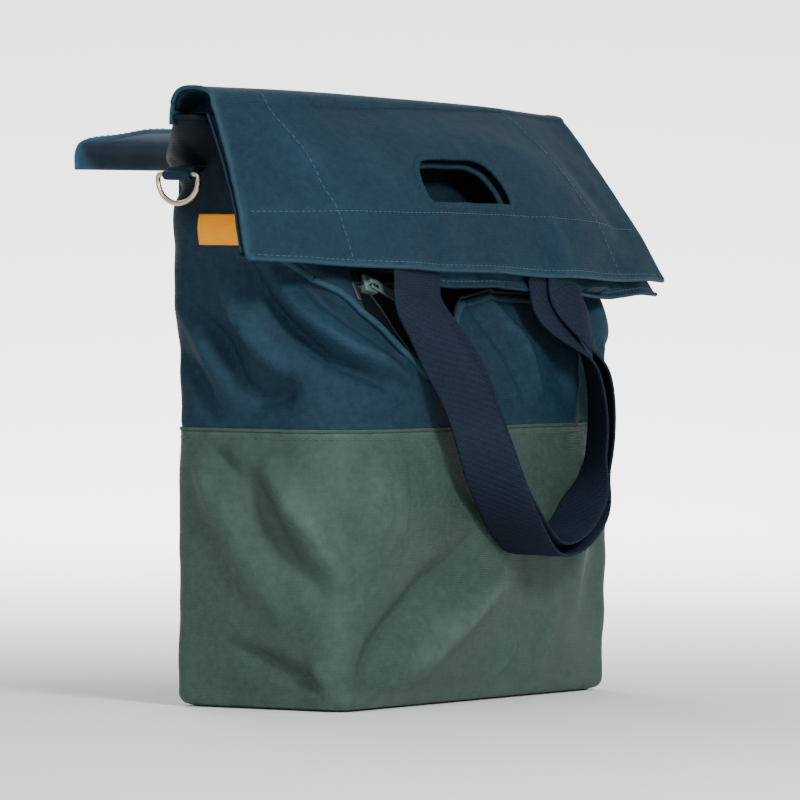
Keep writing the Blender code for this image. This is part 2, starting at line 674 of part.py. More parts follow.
def rivet_mesh(inner_y):
    """Rivet turned about Y: wide flat head inside the bag, low domed head on the hook plate."""
    outer_y = BASE_DEPTH / 2 + GAP + HOOK_PLATE + GAP
    inner_face = inner_y - GAP
    profile = [(0.0, inner_face - 0.0012), (0.0042, inner_face - 0.0012), (0.0045, inner_face - 0.0006),
               (0.0045, inner_face), (0.0020, inner_face), (0.0020, outer_y), (0.0038, outer_y),
               (0.0034, outer_y + 0.0009), (0.0018, outer_y + 0.0014), (0.0, outer_y + 0.0015)]
    sides = 12
    bm = bmesh.new()
    rings = []
    for radius, y in profile:
        if radius == 0.0:
            rings.append([bm.verts.new((0.0, y, 0.0))])
            continue
        ring = []
        for k in range(sides):
            angle = 2 * math.pi * k / sides
            ring.append(bm.verts.new((radius * math.cos(angle), y, radius * math.sin(angle))))
        rings.append(ring)
    for a, b in zip(rings, rings[1:]):
        for k in range(sides):
            m = (k + 1) % sides
            if len(a) == 1:
                bm.faces.new((a[0], b[m], b[k]))
            elif len(b) == 1:
                bm.faces.new((a[k], a[m], b[0]))
            else:
                bm.faces.new((a[k], a[m], b[m], b[k]))
    return bm


def make_hooks(mats, strip_face_y):
    pin_y, pin_z = LOCK_AXIS
    half = HOOK_WIDTH / 2
    ear = 0.0045
    for name, side in (("left", -1), ("right", 1)):
        x = side * HOOK_X
        hook_bm = prism_mesh(hook_outline(), x - half, x + half, along_x)
        hook = finish_object(f"hook_{name}", hook_bm, mats["hook"], 35)
        for end, start in (("a", x - half + 0.003), ("b", x + half - 0.003 - ear)):
            join(hook, prism_mesh(ear_outline(), start, start + ear, along_x), f"hook_{name}_ear_{end}")
        bore_bm = cylinder_mesh((x, pin_y, pin_z), (1, 0, 0), PIN_BORE, 0.060, 16)
        cut(hook, bore_bm, f"hook_{name}_pin_cutter")
        holes = bmesh.new()
        for rx, rz in rivet_places():
            if (rx > 0) == (side > 0):
                hole = cylinder_mesh((rx, BASE_DEPTH / 2 + 0.002, rz), (0, 1, 0), RIVET_HOLE, 0.016, 12)
                add_mesh(holes, hole)
        cut(hook, holes, f"hook_{name}_rivet_cutter")

        pin = cylinder_mesh((0, 0, 0), (1, 0, 0), 0.0014, HOOK_WIDTH - 0.004, 12)
        finish_object(f"lock_pin_{name}", pin, mats["steel"], 40, at=(x, pin_y, pin_z))
        lever_bm = prism_mesh(lever_outline(), -LOCK_WIDTH / 2, LOCK_WIDTH / 2, along_x)
        lever = finish_object(f"lock_lever_{name}", lever_bm, mats["hook"], 40, at=(x, pin_y, pin_z))
        bore_bm = cylinder_mesh((x, pin_y, pin_z), (1, 0, 0), PIN_BORE, 0.060, 16)
        cut(lever, bore_bm, f"lever_{name}_bore_cutter")
        spring_at = (x - LOCK_WIDTH / 2 - 0.0035, pin_y, pin_z)
        finish_object(f"lock_spring_{name}", spring_mesh(), mats["steel"], 60, at=spring_at)
    for i, (rx, rz) in enumerate(rivet_places(), start=1):
        finish_object(f"hook_rivet_{i}", rivet_mesh(strip_face_y), mats["steel"], 40, at=(rx, 0.0, rz))


def make_cover(mats):
    """Fabric cover for the hooks: a fixed strip over their tops, and a flap hinged on its edge."""
    low = HOOK_TOP_Z + GAP
    start = back_y(low) + 0.0006
    bridge_end = 0.0860
    half = COVER_HALF_WIDTH
    strip = box_mesh((-half, start, low), (half, bridge_end, low + COVER_THICKNESS))
    finish_object("hook_cover_strip", strip, mats["navy"])
    hinge = (0.0, bridge_end + 0.0010, low + COVER_THICKNESS / 2)
    path = [(0.0002, 0.0), (COVER_REACH - 0.004, 0.0), (COVER_REACH, -0.0120)]
    cover = prism_mesh(thick_path(path, COVER_THICKNESS), -half, half, along_x)
    finish_object("hook_cover", cover, mats["navy"], at=hinge)
    back = BASE_DEPTH / 2 + GAP
    closure_high = (0.100, back + 0.0014, CLOSURE_LOW_Z + CLOSURE_HEIGHT)
    closure = box_mesh((-0.100, back, CLOSURE_LOW_Z), closure_high)
    finish_object("cover_closure_strip", closure, mats["webbing"])


def build():
    for obj in list(bpy.data.objects):
        bpy.data.objects.remove(obj, do_unlink=True)
    mats = make_materials()
    make_shells(mats)
    strip_face_y = make_boards(mats)
    make_pocket(mats)
    make_flap(mats)
    make_handles(mats)
    make_side_pieces(mats)
    make_hooks(mats, strip_face_y)
    make_cover(mats)


build()
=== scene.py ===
"""Looks of the fold-over pannier bag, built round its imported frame.

Frame: metres, +Z up, origin at the centre of the base. +X is the bag's width (bicycle forwards), -Y is the
outer face with the folded flap, +Y is the back face with the rack hooks.
The fabric surfaces are sheets in material coordinates: the body's are (a, z), where a is the distance round
the girth from the middle of the front, and the flap's are (x, d), where d is the distance down from the fold.
The tables of folds, curves and routes are written in millimetres.
"""

import math

import bmesh
import bpy
import numpy as np
from mathutils import Matrix, Vector


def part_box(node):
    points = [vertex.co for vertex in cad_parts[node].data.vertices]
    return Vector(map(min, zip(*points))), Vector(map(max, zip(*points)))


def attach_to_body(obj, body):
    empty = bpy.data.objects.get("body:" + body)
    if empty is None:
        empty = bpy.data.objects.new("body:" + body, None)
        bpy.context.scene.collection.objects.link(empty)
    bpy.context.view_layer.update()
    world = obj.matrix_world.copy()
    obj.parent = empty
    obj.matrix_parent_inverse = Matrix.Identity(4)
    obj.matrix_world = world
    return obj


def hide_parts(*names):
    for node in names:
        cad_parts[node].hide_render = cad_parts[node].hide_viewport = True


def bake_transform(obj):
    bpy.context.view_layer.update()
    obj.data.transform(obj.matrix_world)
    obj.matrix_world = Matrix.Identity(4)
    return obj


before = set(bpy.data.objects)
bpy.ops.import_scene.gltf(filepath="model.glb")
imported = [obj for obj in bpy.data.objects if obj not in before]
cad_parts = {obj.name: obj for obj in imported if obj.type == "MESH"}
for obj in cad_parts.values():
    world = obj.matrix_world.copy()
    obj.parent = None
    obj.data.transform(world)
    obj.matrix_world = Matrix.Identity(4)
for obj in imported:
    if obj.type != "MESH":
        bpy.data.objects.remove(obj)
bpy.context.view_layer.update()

# ---- sizes: those of the frame, and those of the sheets ----
TUB_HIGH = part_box("lower_shell")[1]
COVER_LOW, COVER_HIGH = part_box("hook_cover")
STRIP_LOW, STRIP_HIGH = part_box("hook_cover_strip")
HALF_W = TUB_HIGH.x
HALF_D = TUB_HIGH.y
HALF_GIRTH = 2 * (HALF_W + HALF_D)
SEAM_Z = TUB_HIGH.z
MOUTH_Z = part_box("upper_shell")[1].z
FLAP_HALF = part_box("flap_outer")[1].x
MOUTH_FRONT_Y = 0.006
MOUTH_BACK_Y = 0.0265
SHOULDER_Z = 0.205                 # where the front starts to lean in to the mouth
NECK_Z = 0.3155                    # where the back starts to lean in
FABRIC = 0.0015
FLAP_FABRIC = 0.0016
THIN_CLOTH = 0.0009                # of the pocket's pouch and the flap's gussets
ZIP_LOW_Z = 0.234                  # fabric edges on both sides of the zip
ZIP_HIGH_Z = 0.2465
ZIP_HALF = 0.115
SAG_FOOT_Z = 0.161                 # from here up, the body follows the pocket's sagging lip
LIP_LEAN = 0.13                    # how far the lip leans out, as a share of its drop
BASE_ROUND = 0.007                 # radius of the base's edge
RIGHT_CORNER = 0.28                # radius of the front's right corner, as a share of the left one's
# In the photo the bag's left outline is its back left corner, and it is straight up to the fold. These are
# the direction in plan in which the outline is furthest out, and how far out it is.
OUTLINE_X, OUTLINE_Y, OUTLINE_FAR = 0.5061, 0.8625, 0.1237


# ---- small maths ----
def mm(value):
    """Nested tuples of millimetres as metres."""
    return tuple(mm(v) for v in value) if isinstance(value, tuple) else value / 1000


def smooth(t):
    t = np.clip(t, 0.0, 1.0)
    return t * t * (3 - 2 * t)


def ramp(value, start, length):
    """Smooth rise from 0 to 1 as value goes from start to start + length."""
    return smooth((value - start) / length)


def bell(away, width):
    """1 where away is zero, and less further off."""
    return np.exp(-((away / width) ** 2))


def unit(vectors):
    return vectors / np.maximum(np.linalg.norm(vectors, axis=-1, keepdims=True), 1e-9)


def grid(u, v):
    return np.broadcast_arrays(np.asarray(u, float), np.asarray(v, float))


def even(low, high, step):
    return np.linspace(low, high, max(2, int(round((high - low) / step)) + 1))


def quarter(steps, first=0):
    """Angles from zero, or from the first step, to a right angle."""
    return [math.pi / 2 * k / steps for k in range(first, steps + 1)]


def curve(x, knots):
    """Smooth curve through (x, value) knots, for arrays."""
    xs, ys = (np.array(row, float) for row in zip(*knots))
    x = np.clip(np.asarray(x, float), xs[0], xs[-1])
    slopes = np.diff(ys) / np.diff(xs)
    tangents = np.concatenate(([slopes[0]], (slopes[:-1] + slopes[1:]) / 2, [slopes[-1]]))
    i = np.clip(np.searchsorted(xs, x, side="right") - 1, 0, len(xs) - 2)
    h = xs[i + 1] - xs[i]
    t = (x - xs[i]) / h
    return ((2 * t**3 - 3 * t**2 + 1) * ys[i] + (t**3 - 2 * t**2 + t) * h * tangents[i]
            + (-2 * t**3 + 3 * t**2) * ys[i + 1] + (t**3 - t**2) * h * tangents[i + 1])


def ripple(u, v, seed, size):
    """Smooth wandering value from -1 to 1 over a surface, as a sum of fixed sine waves."""
    rng = np.random.default_rng(seed)
    total = np.zeros(np.broadcast(u, v).shape)
    for _ in range(7):
        angle, phase, scale = rng.uniform(0, math.tau), rng.uniform(0, math.tau), rng.uniform(0.6, 1.7)
        wave = math.tau / (size * scale)
        total += np.sin(wave * (u * math.cos(angle) + v * math.sin(angle)) + phase
                        + 0.8 * np.sin(0.6 * wave * (v * math.cos(angle) - u * math.sin(angle))))
    return total / 4.5


def fold_height(u, v, folds):
    """Height over a surface of long soft folds: each has a line of points, a half width and a height."""
    height = np.zeros(np.broadcast(u, v).shape)
    for points, width, rise in folds:
        lengths = [math.dist(p, q) for p, q in zip(points, points[1:])]
        whole = sum(lengths)
        nearest = np.full(height.shape, 1e9)
        along = np.zeros(height.shape)
        start = 0.0
        for (p, q), length in zip(zip(points, points[1:]), lengths):
            du, dv = (q[0] - p[0]) / length, (q[1] - p[1]) / length
            t = np.clip((u - p[0]) * du + (v - p[1]) * dv, 0.0, length)
            away = np.hypot(u - p[0] - t * du, v - p[1] - t * dv)
            closer = away < nearest
            nearest = np.where(closer, away, nearest)
            along = np.where(closer, (start + t) / whole, along)
            start += length
        taper = 0.35 + 0.65 * np.sin(math.pi * np.clip(along, 0.02, 0.98)) ** 0.7
        height += rise * taper * bell(nearest, width * (0.6 + 0.4 * taper))
    return height


# ---- the body's surface ----
# folds of the body as (a, z) lines, half width, height. The front's left corner is at a = -HALF_W.
BODY_FOLDS = mm((
    # tub: a raised fold from the seam down to the corner, and the dents beside it
    (((-188, 134), (-163, 104), (-146, 73)), 9.5, 5.2),
    (((-203, 130), (-185, 100), (-160, 68)), 8, -3.2),
    (((-224, 128), (-211, 94), (-184, 56)), 11, 3.6),
    (((-240, 140), (-225, 104)), 6.5, 2.8),
    (((-228, 145), (-213, 135)), 4.5, -2.2),
    (((-132, 118), (-96, 112)), 26, 4.2),
    # tub: a dent and a long fold that runs up to the right from the low corner
    (((-20, 90), (-72, 64), (-115, 37), (-134, 14)), 11, -4.6),
    (((12, 68), (-46, 41), (-94, 13)), 12, 5.6),
    (((-220, 36), (-182, 22), (-158, 12)), 5.5, -3),
    (((-164, 27), (-154, 5)), 4.5, 2.6),
    (((84, 49), (60, 14)), 3.5, 1.9),
    (((36, 29), (10, 10)), 3.5, 1.9),
    (((120, 140), (108, 60)), 13, 2.6),
    (((127, 228), (124, 158)), 9.5, -2.6),
    (((141, 218), (143, 160)), 3.4, 1.3),
    # navy side: the gusset's drooping lobes
    (((-249, 198), (-238, 183), (-229, 165)), 6, -3),
    (((-241, 222), (-229, 195), (-214, 174)), 7.5, 3.6),
    (((-232, 224), (-219, 206), (-209, 186)), 5, -3.2),
    (((-207, 184), (-195, 174), (-179, 177), (-168, 189)), 5.5, -3.4),
    (((-206, 242), (-200, 222), (-190, 204), (-172, 190)), 9.5, 5.6),
    # navy front: long folds fanning down from the flap's corner
    (((-190, 252), (-183, 232), (-170, 214), (-148, 198), (-112, 184)), 5.5, -5.2),
    (((-172, 243), (-165, 230), (-154, 216), (-138, 203), (-96, 188)), 6.2, 5.2),
    (((-158, 246), (-141, 229), (-118, 214), (-98, 200)), 6, -4),
    (((20, 236), (48, 206), (62, 180)), 6, 3),
    (((4, 236), (34, 200), (48, 176)), 6, -2.6),
    (((116, 230), (100, 190), (104, 165)), 9, 3.4),
    # right front corner: pushed out, most of all where the gusset folds under the flap
    (((149, 40), (148, 130), (149, 205)), 11, 2),
    (((150, 202), (152, 238)), 9.5, 4.4),
    # upper left: fabric bulging over the D-ring's tab
    (((-268, 313), (-243, 310), (-214, 317)), 6.2, 2.7),
    (((-262, 296), (-240, 293), (-212, 300)), 6, -1.8),
))
# the lower lip of the open pocket, as (a, z)
LIP = ((-0.184, ZIP_LOW_Z),) + mm((
    (-170, 242), (-158, 245.5), (-150, 245), (-141, 241), (-132, 235.6), (-122, 228), (-110, 218.8),
    (-99, 209), (-88, 198.5), (-74, 188.5), (-56, 189.5), (-34, 208), (-6, 228), (22, 231.8), (60, 231.7),
    (108, 231.9))) + ((ZIP_HALF, ZIP_LOW_Z),)


def body_levels(z):
    """Front y, back y, half width and the two corner radii of the body's cross-section at height z."""
    z = np.asarray(z, float)
    lean = (z - SHOULDER_Z) / (MOUTH_Z - SHOULDER_Z)
    lean = (lean + np.sqrt(lean**2 + 0.012)) / 2
    front = -HALF_D + np.minimum(lean, 1.0) * (MOUTH_FRONT_Y + HALF_D)
    top = (z - NECK_Z) / (MOUTH_Z - NECK_Z)
    top = (top + np.sqrt(top**2 + 0.03)) / 2
    back = HALF_D - np.minimum(top, 1.0) * (HALF_D - MOUTH_BACK_Y)
    depth = back - front
    wide = (2 * (HALF_W + HALF_D) - depth) / 2 + 0.004 * smooth((2 * HALF_D - depth) / 0.03)
    # the sides draw in beside the zip and the flap, and come out again into the fold
    drawn_in = 0.0048 * ramp(z, 0.222, 0.03) + 0.0085 * ramp(z, 0.268, 0.026)
    wide = wide - drawn_in * (1 - ramp(z, 0.304, 0.022)) + 0.003 * ramp(z, 0.318, 0.01)
    front_radius = np.minimum(0.013 + 0.023 * ramp(z, 0.005, 0.08), depth * 0.46)
    # the back corners are rounded just enough to keep the bag's outline straight
    spare = OUTLINE_X * wide + OUTLINE_Y * back - OUTLINE_FAR
    back_radius = np.clip(spare / (OUTLINE_X + OUTLINE_Y - 1), np.where(z < 0.25, 0.01, 0.003), 0.034)
    return front, back, wide, front_radius, np.minimum(back_radius, depth * 0.46)


def lip_drop(a):
    inside = (a > LIP[0][0]) & (a < LIP[-1][0])
    return np.where(inside, ZIP_LOW_Z - curve(a, LIP), 0.0)


def smooth_body(a, z):
    """Points of the body without folds, as three arrays, from arrays of a and z."""
    a, z = grid(a, z)
    front, back, wide, r1, r2 = body_levels(z)
    r1 = np.where(a > 0, r1 * RIGHT_CORNER, r1)
    edge = np.clip(1 - z / BASE_ROUND, 0.0, 1.0)
    tuck = BASE_ROUND * (1 - np.sqrt(np.clip(1 - edge**2, 0.0, 1.0)))
    front, back, wide = front + tuck, back - tuck, wide - tuck
    r1, r2 = np.maximum(r1 - tuck * 0.5, 0.002), np.maximum(r2 - tuck * 0.5, 0.002)
    # half the girth is five runs: front, front corner, side, back corner, back
    runs = (wide - r1, r1 * math.pi / 2, back - front - r1 - r2, r2 * math.pi / 2, wide - r2)
    s = np.abs(a) * sum(runs) / HALF_GIRTH
    e1 = runs[0]
    e2 = e1 + runs[1]
    e3 = e2 + runs[2]
    e4 = e3 + runs[3]
    t1 = np.clip((s - e1) / runs[1], 0, 1) * math.pi / 2
    t2 = np.clip((s - e3) / runs[3], 0, 1) * math.pi / 2
    where = [s < e1, s < e2, s < e3, s < e4]
    x = np.select(where, [s, wide - r1 + r1 * np.sin(t1), wide, wide - r2 + r2 * np.cos(t2)],
                  runs[4] - (s - e4))
    y = np.select(where, [front, front + r1 - r1 * np.cos(t1), front + r1 + (s - e2),
                          back - r2 + r2 * np.sin(t2)], back)
    return np.sign(a + 1e-12) * x, y, z


def body(a, z, out=0.0, folded=True):
    """Points of the body at material (a, z), lifted out of its surface by out."""
    a, z = grid(a, z)
    a = (a + HALF_GIRTH) % (2 * HALF_GIRTH) - HALF_GIRTH

    def surface(aa, zz):
        reach = np.clip((zz - SAG_FOOT_Z) / (ZIP_LOW_Z - SAG_FOOT_Z), 0.0, 1.0)
        drop = np.where(zz <= ZIP_LOW_Z + 1e-6, lip_drop(aa), 0.0)
        x, y, height = smooth_body(aa, zz - drop * reach**1.15)
        return np.stack((x, y - LIP_LEAN * drop * smooth(reach), height), -1)

    step = 0.0012
    up = np.where((z + step > ZIP_LOW_Z) & (z <= ZIP_LOW_Z + 1e-6), 0.0, step)
    p = surface(a, z)
    across = surface(a + step, z) - surface(a - step, z)
    rise = surface(a, z + up) - surface(a, z - step)
    normal = unit(np.cross(across, rise))
    lift = np.zeros(a.shape)
    if folded:
        height = p[..., 2]
        away = np.abs(a)
        lift = 2.0 * fold_height(a, height, BODY_FOLDS)
        lift += 0.0009 * ripple(a, height, 3, 0.05) + 0.00035 * ripple(a, height, 4, 0.017)
        front_face = smooth((HALF_W - 0.004 - away) / 0.05)
        lift += 0.0055 * front_face * np.sin(math.pi * np.clip(height / 0.215, 0, 1)) ** 0.8
        side_face = ramp(away, HALF_W, 0.03) * smooth((HALF_W + 2 * HALF_D - away) / 0.03)
        lift += 0.003 * side_face * np.sin(math.pi * np.clip(height / 0.24, 0, 1))
        lift *= ramp(height, 0.001, 0.02) * (1 - ramp(height, 0.318, 0.014))
        # the stiffened back stays flat, most of all where the hooks are riveted on
        stiff = smooth((away - HALF_W - 2 * HALF_D + 0.006) / 0.02)
        lift *= 1 - 0.85 * stiff
        near_hooks = stiff * ramp(height, 0.22, 0.02)
        lift = lift * (1 - near_hooks) - 0.0004 * near_hooks
    return p + normal * (lift + out)[..., None]


# ---- the flap's surface ----
ROLL = 0.044                       # length of fabric over the roll, before d = 0
FLAP_DROP = 0.1075                 # from the front of the fold to the hem
INNER_DROP = FLAP_DROP + 0.005     # the inner layer hangs a little lower
LAYER_GAP = 0.0076                 # between the two layers
ROLL_BACK_Z = 0.329                # the roll's back end, on the bag's neck
# along x: the hem, the top of the roll, and how far the flap's face bulges
HEM_Y = mm(((-204, -27.5), (-140, -47), (-80, -60), (0, -64.5), (80, -67),
         (140, -66), (204, -63)))
HEM_Z = mm(((-204, 254.5), (-140, 251.5), (-80, 249), (0, 246.5), (80, 243.5),
         (140, 242), (204, 240.5)))
CROWN_Z = mm(((-204, 350), (-100, 349), (0, 346.5), (100, 343.5), (204, 338.5)))
BULGE = mm(((-204, 2), (-120, 8.5), (0, 12), (120, 10.5), (204, 2.5)))
FLAP_FOLDS = mm((
    (((-176, 30), (-158, 62)), 10, -2.8),
    (((-150, 20), (-128, 52)), 11, 2.4),
    (((-190, 74), (-150, 70), (-112, 78)), 7.5, 1.6),
    (((-60, 82), (-50, 104)), 8, -1.8),
    (((-40, 78), (-30, 104)), 8, 1.4),
    (((58, 76), (66, 106)), 7.5, -2),
    (((78, 72), (86, 106)), 7.5, 1.6),
    (((30, 20), (110, 40)), 16, 1.8),
    (((-100, 30), (-60, 60)), 15, 1.6),
    (((150, 30), (180, 80)), 13, -2.2),
))


def flap_line(x, d):
    """(y, z) of the outer layer without folds; d is negative over the roll and FLAP_DROP at the hem."""
    hem_y, hem_z = curve(x, HEM_Y), curve(x, HEM_Z)
    crown = curve(x, CROWN_Z)
    easy = ramp(x, -0.1, 0.22)             # towards the right the fold is flatter
    start_y = -0.0035 + 0.003 * easy + 0.0085 * ramp(x, 0.1, 0.104)
    start_z = crown - 0.009 + 0.0052 * easy
    t = np.clip(d / FLAP_DROP, 0.0, 1.05)
    length = np.hypot(hem_y - start_y, hem_z - start_z)
    bulge = curve(x, BULGE) * np.sin(math.pi * np.clip(t, 0, 1)) ** 0.85
    y = start_y + (hem_y - start_y) * t + (hem_z - start_z) / length * bulge
    z = start_z + (hem_z - start_z) * t - (hem_y - start_y) / length * bulge
    # over the roll: an arch from the back of the neck to the front
    k = np.clip(-d / ROLL, 0.0, 1.0)
    angle = math.pi * k
    back_y = MOUTH_BACK_Y - FABRIC / 2
    mid_y, half = (back_y + start_y) / 2, (back_y - start_y) / 2
    roll_y = mid_y - half * np.sign(np.cos(angle)) * np.abs(np.cos(angle)) ** (0.8 + 0.2 * easy)
    low_z = start_z + (ROLL_BACK_Z - start_z) * ramp(k, 0.3, 0.7)
    roll_z = low_z + (crown - low_z) * np.abs(np.sin(angle)) ** (0.72 + 0.28 * easy)
    return np.where(d < 0, roll_y, y), np.where(d < 0, roll_z, z)


def flap(x, d, out=0.0, folded=True):
    """Points of the flap's outer layer at (x, d), lifted out of its surface by out."""
    x, d = grid(x, d)

    def surface(xx, dd):
        y, z = flap_line(xx, dd)
        return np.stack((xx * (1 - 0.012 * smooth(-dd / ROLL)), y, z), -1)

    step = 0.001
    across = surface(x + step, d) - surface(x - step, d)
    down = surface(x, d + step) - surface(x, d - step)
    normal = unit(np.cross(down, across))
    lift = np.zeros(x.shape)
    if folded:
        lift = fold_height(x, d, FLAP_FOLDS)
        lift += 0.0008 * ripple(x, d, 11, 0.06) + 0.0003 * ripple(x, d, 12, 0.018)
        waves = 0.001 * ramp(d, 0.08, 0.028) * np.sin(x * 70 + 1.0)
        lift += waves * (1 - ramp(np.abs(x), 0.17, 0.03))
        lift *= ramp(d, -0.02, 0.02)
    return surface(x, d) + normal * (lift + out)[..., None]


def flap_shift(x, d, gap):
    """The way from the outer layer to a layer that lies behind it by gap."""
    outwards = flap(x, d, 0.001, folded=False) - flap(x, d, 0.0, folded=False)
    return -outwards / 0.001 * np.asarray(gap)[..., None]


def inner_layer(x, d, out):
    """The flap's inner layer: behind the outer one, a little crooked, and shorter towards the left."""
    x, d = grid(x, d)
    gap = LAYER_GAP + 0.0008 * ramp(d, 0.07, 0.03)
    short = 0.01 * (1 - ramp(x, -0.2, 0.23)) + 0.0015 * np.sin(40 * x)
    d = d - short * ramp(d, 0.05, 0.06)
    return flap(x, d, out) + flap_shift(x, d, gap)


# ---- mesh building ----
def placed(name, data):
    """A new object in the scene, with this data."""
    obj = bpy.data.objects.new(name, data)
    bpy.context.scene.collection.objects.link(obj)
    return obj


def rework(mesh, *acts, source=None):
    """Run acts on the mesh, or on a copy of the source put into it, and turn its faces outwards."""
    bm = bmesh.new()
    bm.from_mesh(source or mesh)
    for act in acts:
        act(bm)
    bmesh.ops.recalc_face_normals(bm, faces=bm.faces)
    bm.to_mesh(mesh)
    bm.free()


def put_uvs(mesh, uvs):
    """Write one (u, v) for each vertex."""
    layer = mesh.uv_layers.get("UVMap") or mesh.uv_layers.new(name="UVMap")
    index = np.zeros(len(mesh.loops), np.int32)
    mesh.loops.foreach_get("vertex_index", index)
    layer.data.foreach_set("uv", np.asarray(uvs, np.float32)[index].ravel())


def put_values(mesh, name, values):
    """Write one value for each vertex, for the materials to read."""
    attribute = mesh.attributes.get(name) or mesh.attributes.new(name, "FLOAT", "POINT")
    attribute.data.foreach_set("value", np.asarray(values, np.float32))


def points_of(mesh):
    return np.array([v.co for v in mesh.vertices])


def new_object(name, verts, faces, mats, face_mats=None, uvs=None):
    """A smooth-shaded object; mats is a string of keys of MATS."""
    mesh = bpy.data.meshes.new(name)
    mesh.from_pydata([tuple(v) for v in verts], [], [tuple(f) for f in faces])
    for key in mats.split():
        mesh.materials.append(MATS[key])
    if face_mats is not None:
        mesh.polygons.foreach_set("material_index", list(face_mats))
    if uvs is not None:
        put_uvs(mesh, uvs)
    mesh.update()
    mesh.shade_smooth()
    rework(mesh)
    return placed(name, mesh)


def slab(name, us, vs, place, low, high, mats, closed_u=False, skip=None, wear=None):
    """Closed sheet between out = low and out = high over a (u, v) grid.

    The low side has the second material, if there is one. Cells where skip(u, row) is true are left out.
    """
    grid_u, grid_v = np.meshgrid(us, vs, indexing="ij")
    nu, nv = grid_u.shape
    verts = np.concatenate([place(grid_u, grid_v, out).reshape(-1, 3) for out in (high, low)])
    uvs = np.tile(np.stack((grid_u.ravel(), grid_v.ravel()), -1), (2, 1))
    base = nu * nv
    cells = np.ones((nu if closed_u else nu - 1, nv - 1), bool)
    if skip is not None:
        for i, j in np.ndindex(cells.shape):
            k = (i + 1) % nu
            cells[i, j] = not skip((us[i] + us[k]) / 2 if k else us[i], j)
    faces, ids = [], []
    for i, j in zip(*np.nonzero(cells)):
        quad = [(p % nu) * nv + q for p, q in ((i, j), (i + 1, j), (i + 1, j + 1), (i, j + 1))]
        faces += [tuple(quad), tuple(base + q for q in reversed(quad))]
        ids += [0, len(mats.split()) - 1]
        sides = (((i, j - 1), quad[0], quad[1]), ((i + 1, j), quad[1], quad[2]),
                 ((i, j + 1), quad[2], quad[3]), ((i - 1, j), quad[3], quad[0]))
        for (ni, nj), p, q in sides:
            if closed_u:
                ni %= nu
            if not (0 <= ni < cells.shape[0] and 0 <= nj < cells.shape[1] and cells[ni, nj]):
                faces.append((p, base + p, base + q, q))
                ids.append(0)
    used = sorted({v for f in faces for v in f})
    renumber = {v: i for i, v in enumerate(used)}
    faces = [tuple(renumber[v] for v in f) for f in faces]
    obj = new_object(name, verts[used], faces, mats, ids, uvs[used])
    if wear is not None:
        put_values(obj.data, "wear", np.tile(wear(grid_u, grid_v).ravel(), 2)[used])
    return obj


def tube(name, line, normals, wide, thick, mat, sides=10, closed=False, power=0.6):
    """Sweep of a rounded flat section along a line; normals give the way its flat face looks."""
    line = [Vector(p) for p in line]
    count = len(line)
    verts, faces, uvs = [], [], []
    run = 0.0
    for i, here in enumerate(line):
        after = line[(i + 1) % count] if closed or i < count - 1 else here
        before = line[i - 1] if closed or i > 0 else here
        along = (after - before).normalized()
        across = along.cross(Vector(normals[i])).normalized()
        up = across.cross(along).normalized()
        if i:
            run += (here - line[i - 1]).length
        for k in range(sides):
            angle = math.tau * (k + 0.5) / sides
            c, s = math.cos(angle), math.sin(angle)
            c, s = math.copysign(abs(c) ** power, c), math.copysign(abs(s) ** power, s)
            verts.append(here + across * (c * wide / 2) + up * (s * thick / 2))
            uvs.append((c * wide / 2, run))
    for i in range(count if closed else count - 1):
        this, other = i * sides, ((i + 1) % count) * sides
        for k in range(sides):
            m = (k + 1) % sides
            faces.append((this + k, this + m, other + m, other + k))
    if not closed:
        faces += [tuple(range(start, start + sides)) for start in (0, (count - 1) * sides)]
    return new_object(name, verts, faces, mat, None, uvs)


# profile of one stitch: place along it, share of its radius, height in radii
STITCH_RINGS = ((-0.5, 0.45, -0.9), (-0.28, 1.0, 0.15), (0.28, 1.0, 0.15), (0.5, 0.45, -0.9))
STITCH_SIDES = 6


def stitches(name, rows, mat, length=0.0031, gap=0.0011, radius=0.00028):
    """Rows of thread stitches. Each row is (points, normals) along the surface."""
    verts, faces = [], []
    for points, normals in rows:
        points, normals = np.asarray(points, float), np.asarray(normals, float)
        steps = np.linalg.norm(np.diff(points, axis=0), axis=1)
        run = np.concatenate(([0.0], np.cumsum(steps)))

        def at(values, s):
            return Vector([np.interp(s, run, values[:, k]) for k in range(3)])

        start = gap
        while start + length < run[-1]:
            along = (at(points, start + length) - at(points, start)).normalized()
            middle = at(points, start + length / 2)
            up = at(normals, start + length / 2).normalized()
            across = along.cross(up).normalized()
            base = len(verts)
            for t, scale, height in STITCH_RINGS:
                centre = middle + along * (t * length) + up * (height * radius)
                for k in range(STITCH_SIDES):
                    angle = math.tau * k / STITCH_SIDES
                    verts.append(centre + (across * math.cos(angle) + up * math.sin(angle)) * radius * scale)
            for ring in range(base, base + 3 * STITCH_SIDES, STITCH_SIDES):
                for k in range(STITCH_SIDES):
                    p, q = ring + k, ring + (k + 1) % STITCH_SIDES
                    faces.append((p, q, q + STITCH_SIDES, p + STITCH_SIDES))
            faces += [tuple(range(end, end + STITCH_SIDES)) for end in (base, base + 3 * STITCH_SIDES)]
            start += length + gap
    return new_object(name, verts, faces, mat)


def surface_line(place, us, vs, out):
    """Points and outward normals along a line on a surface."""
    us, vs = grid(us, vs)
    low = place(us, vs, out)
    return low, (place(us, vs, out + 0.001) - low) / 0.001


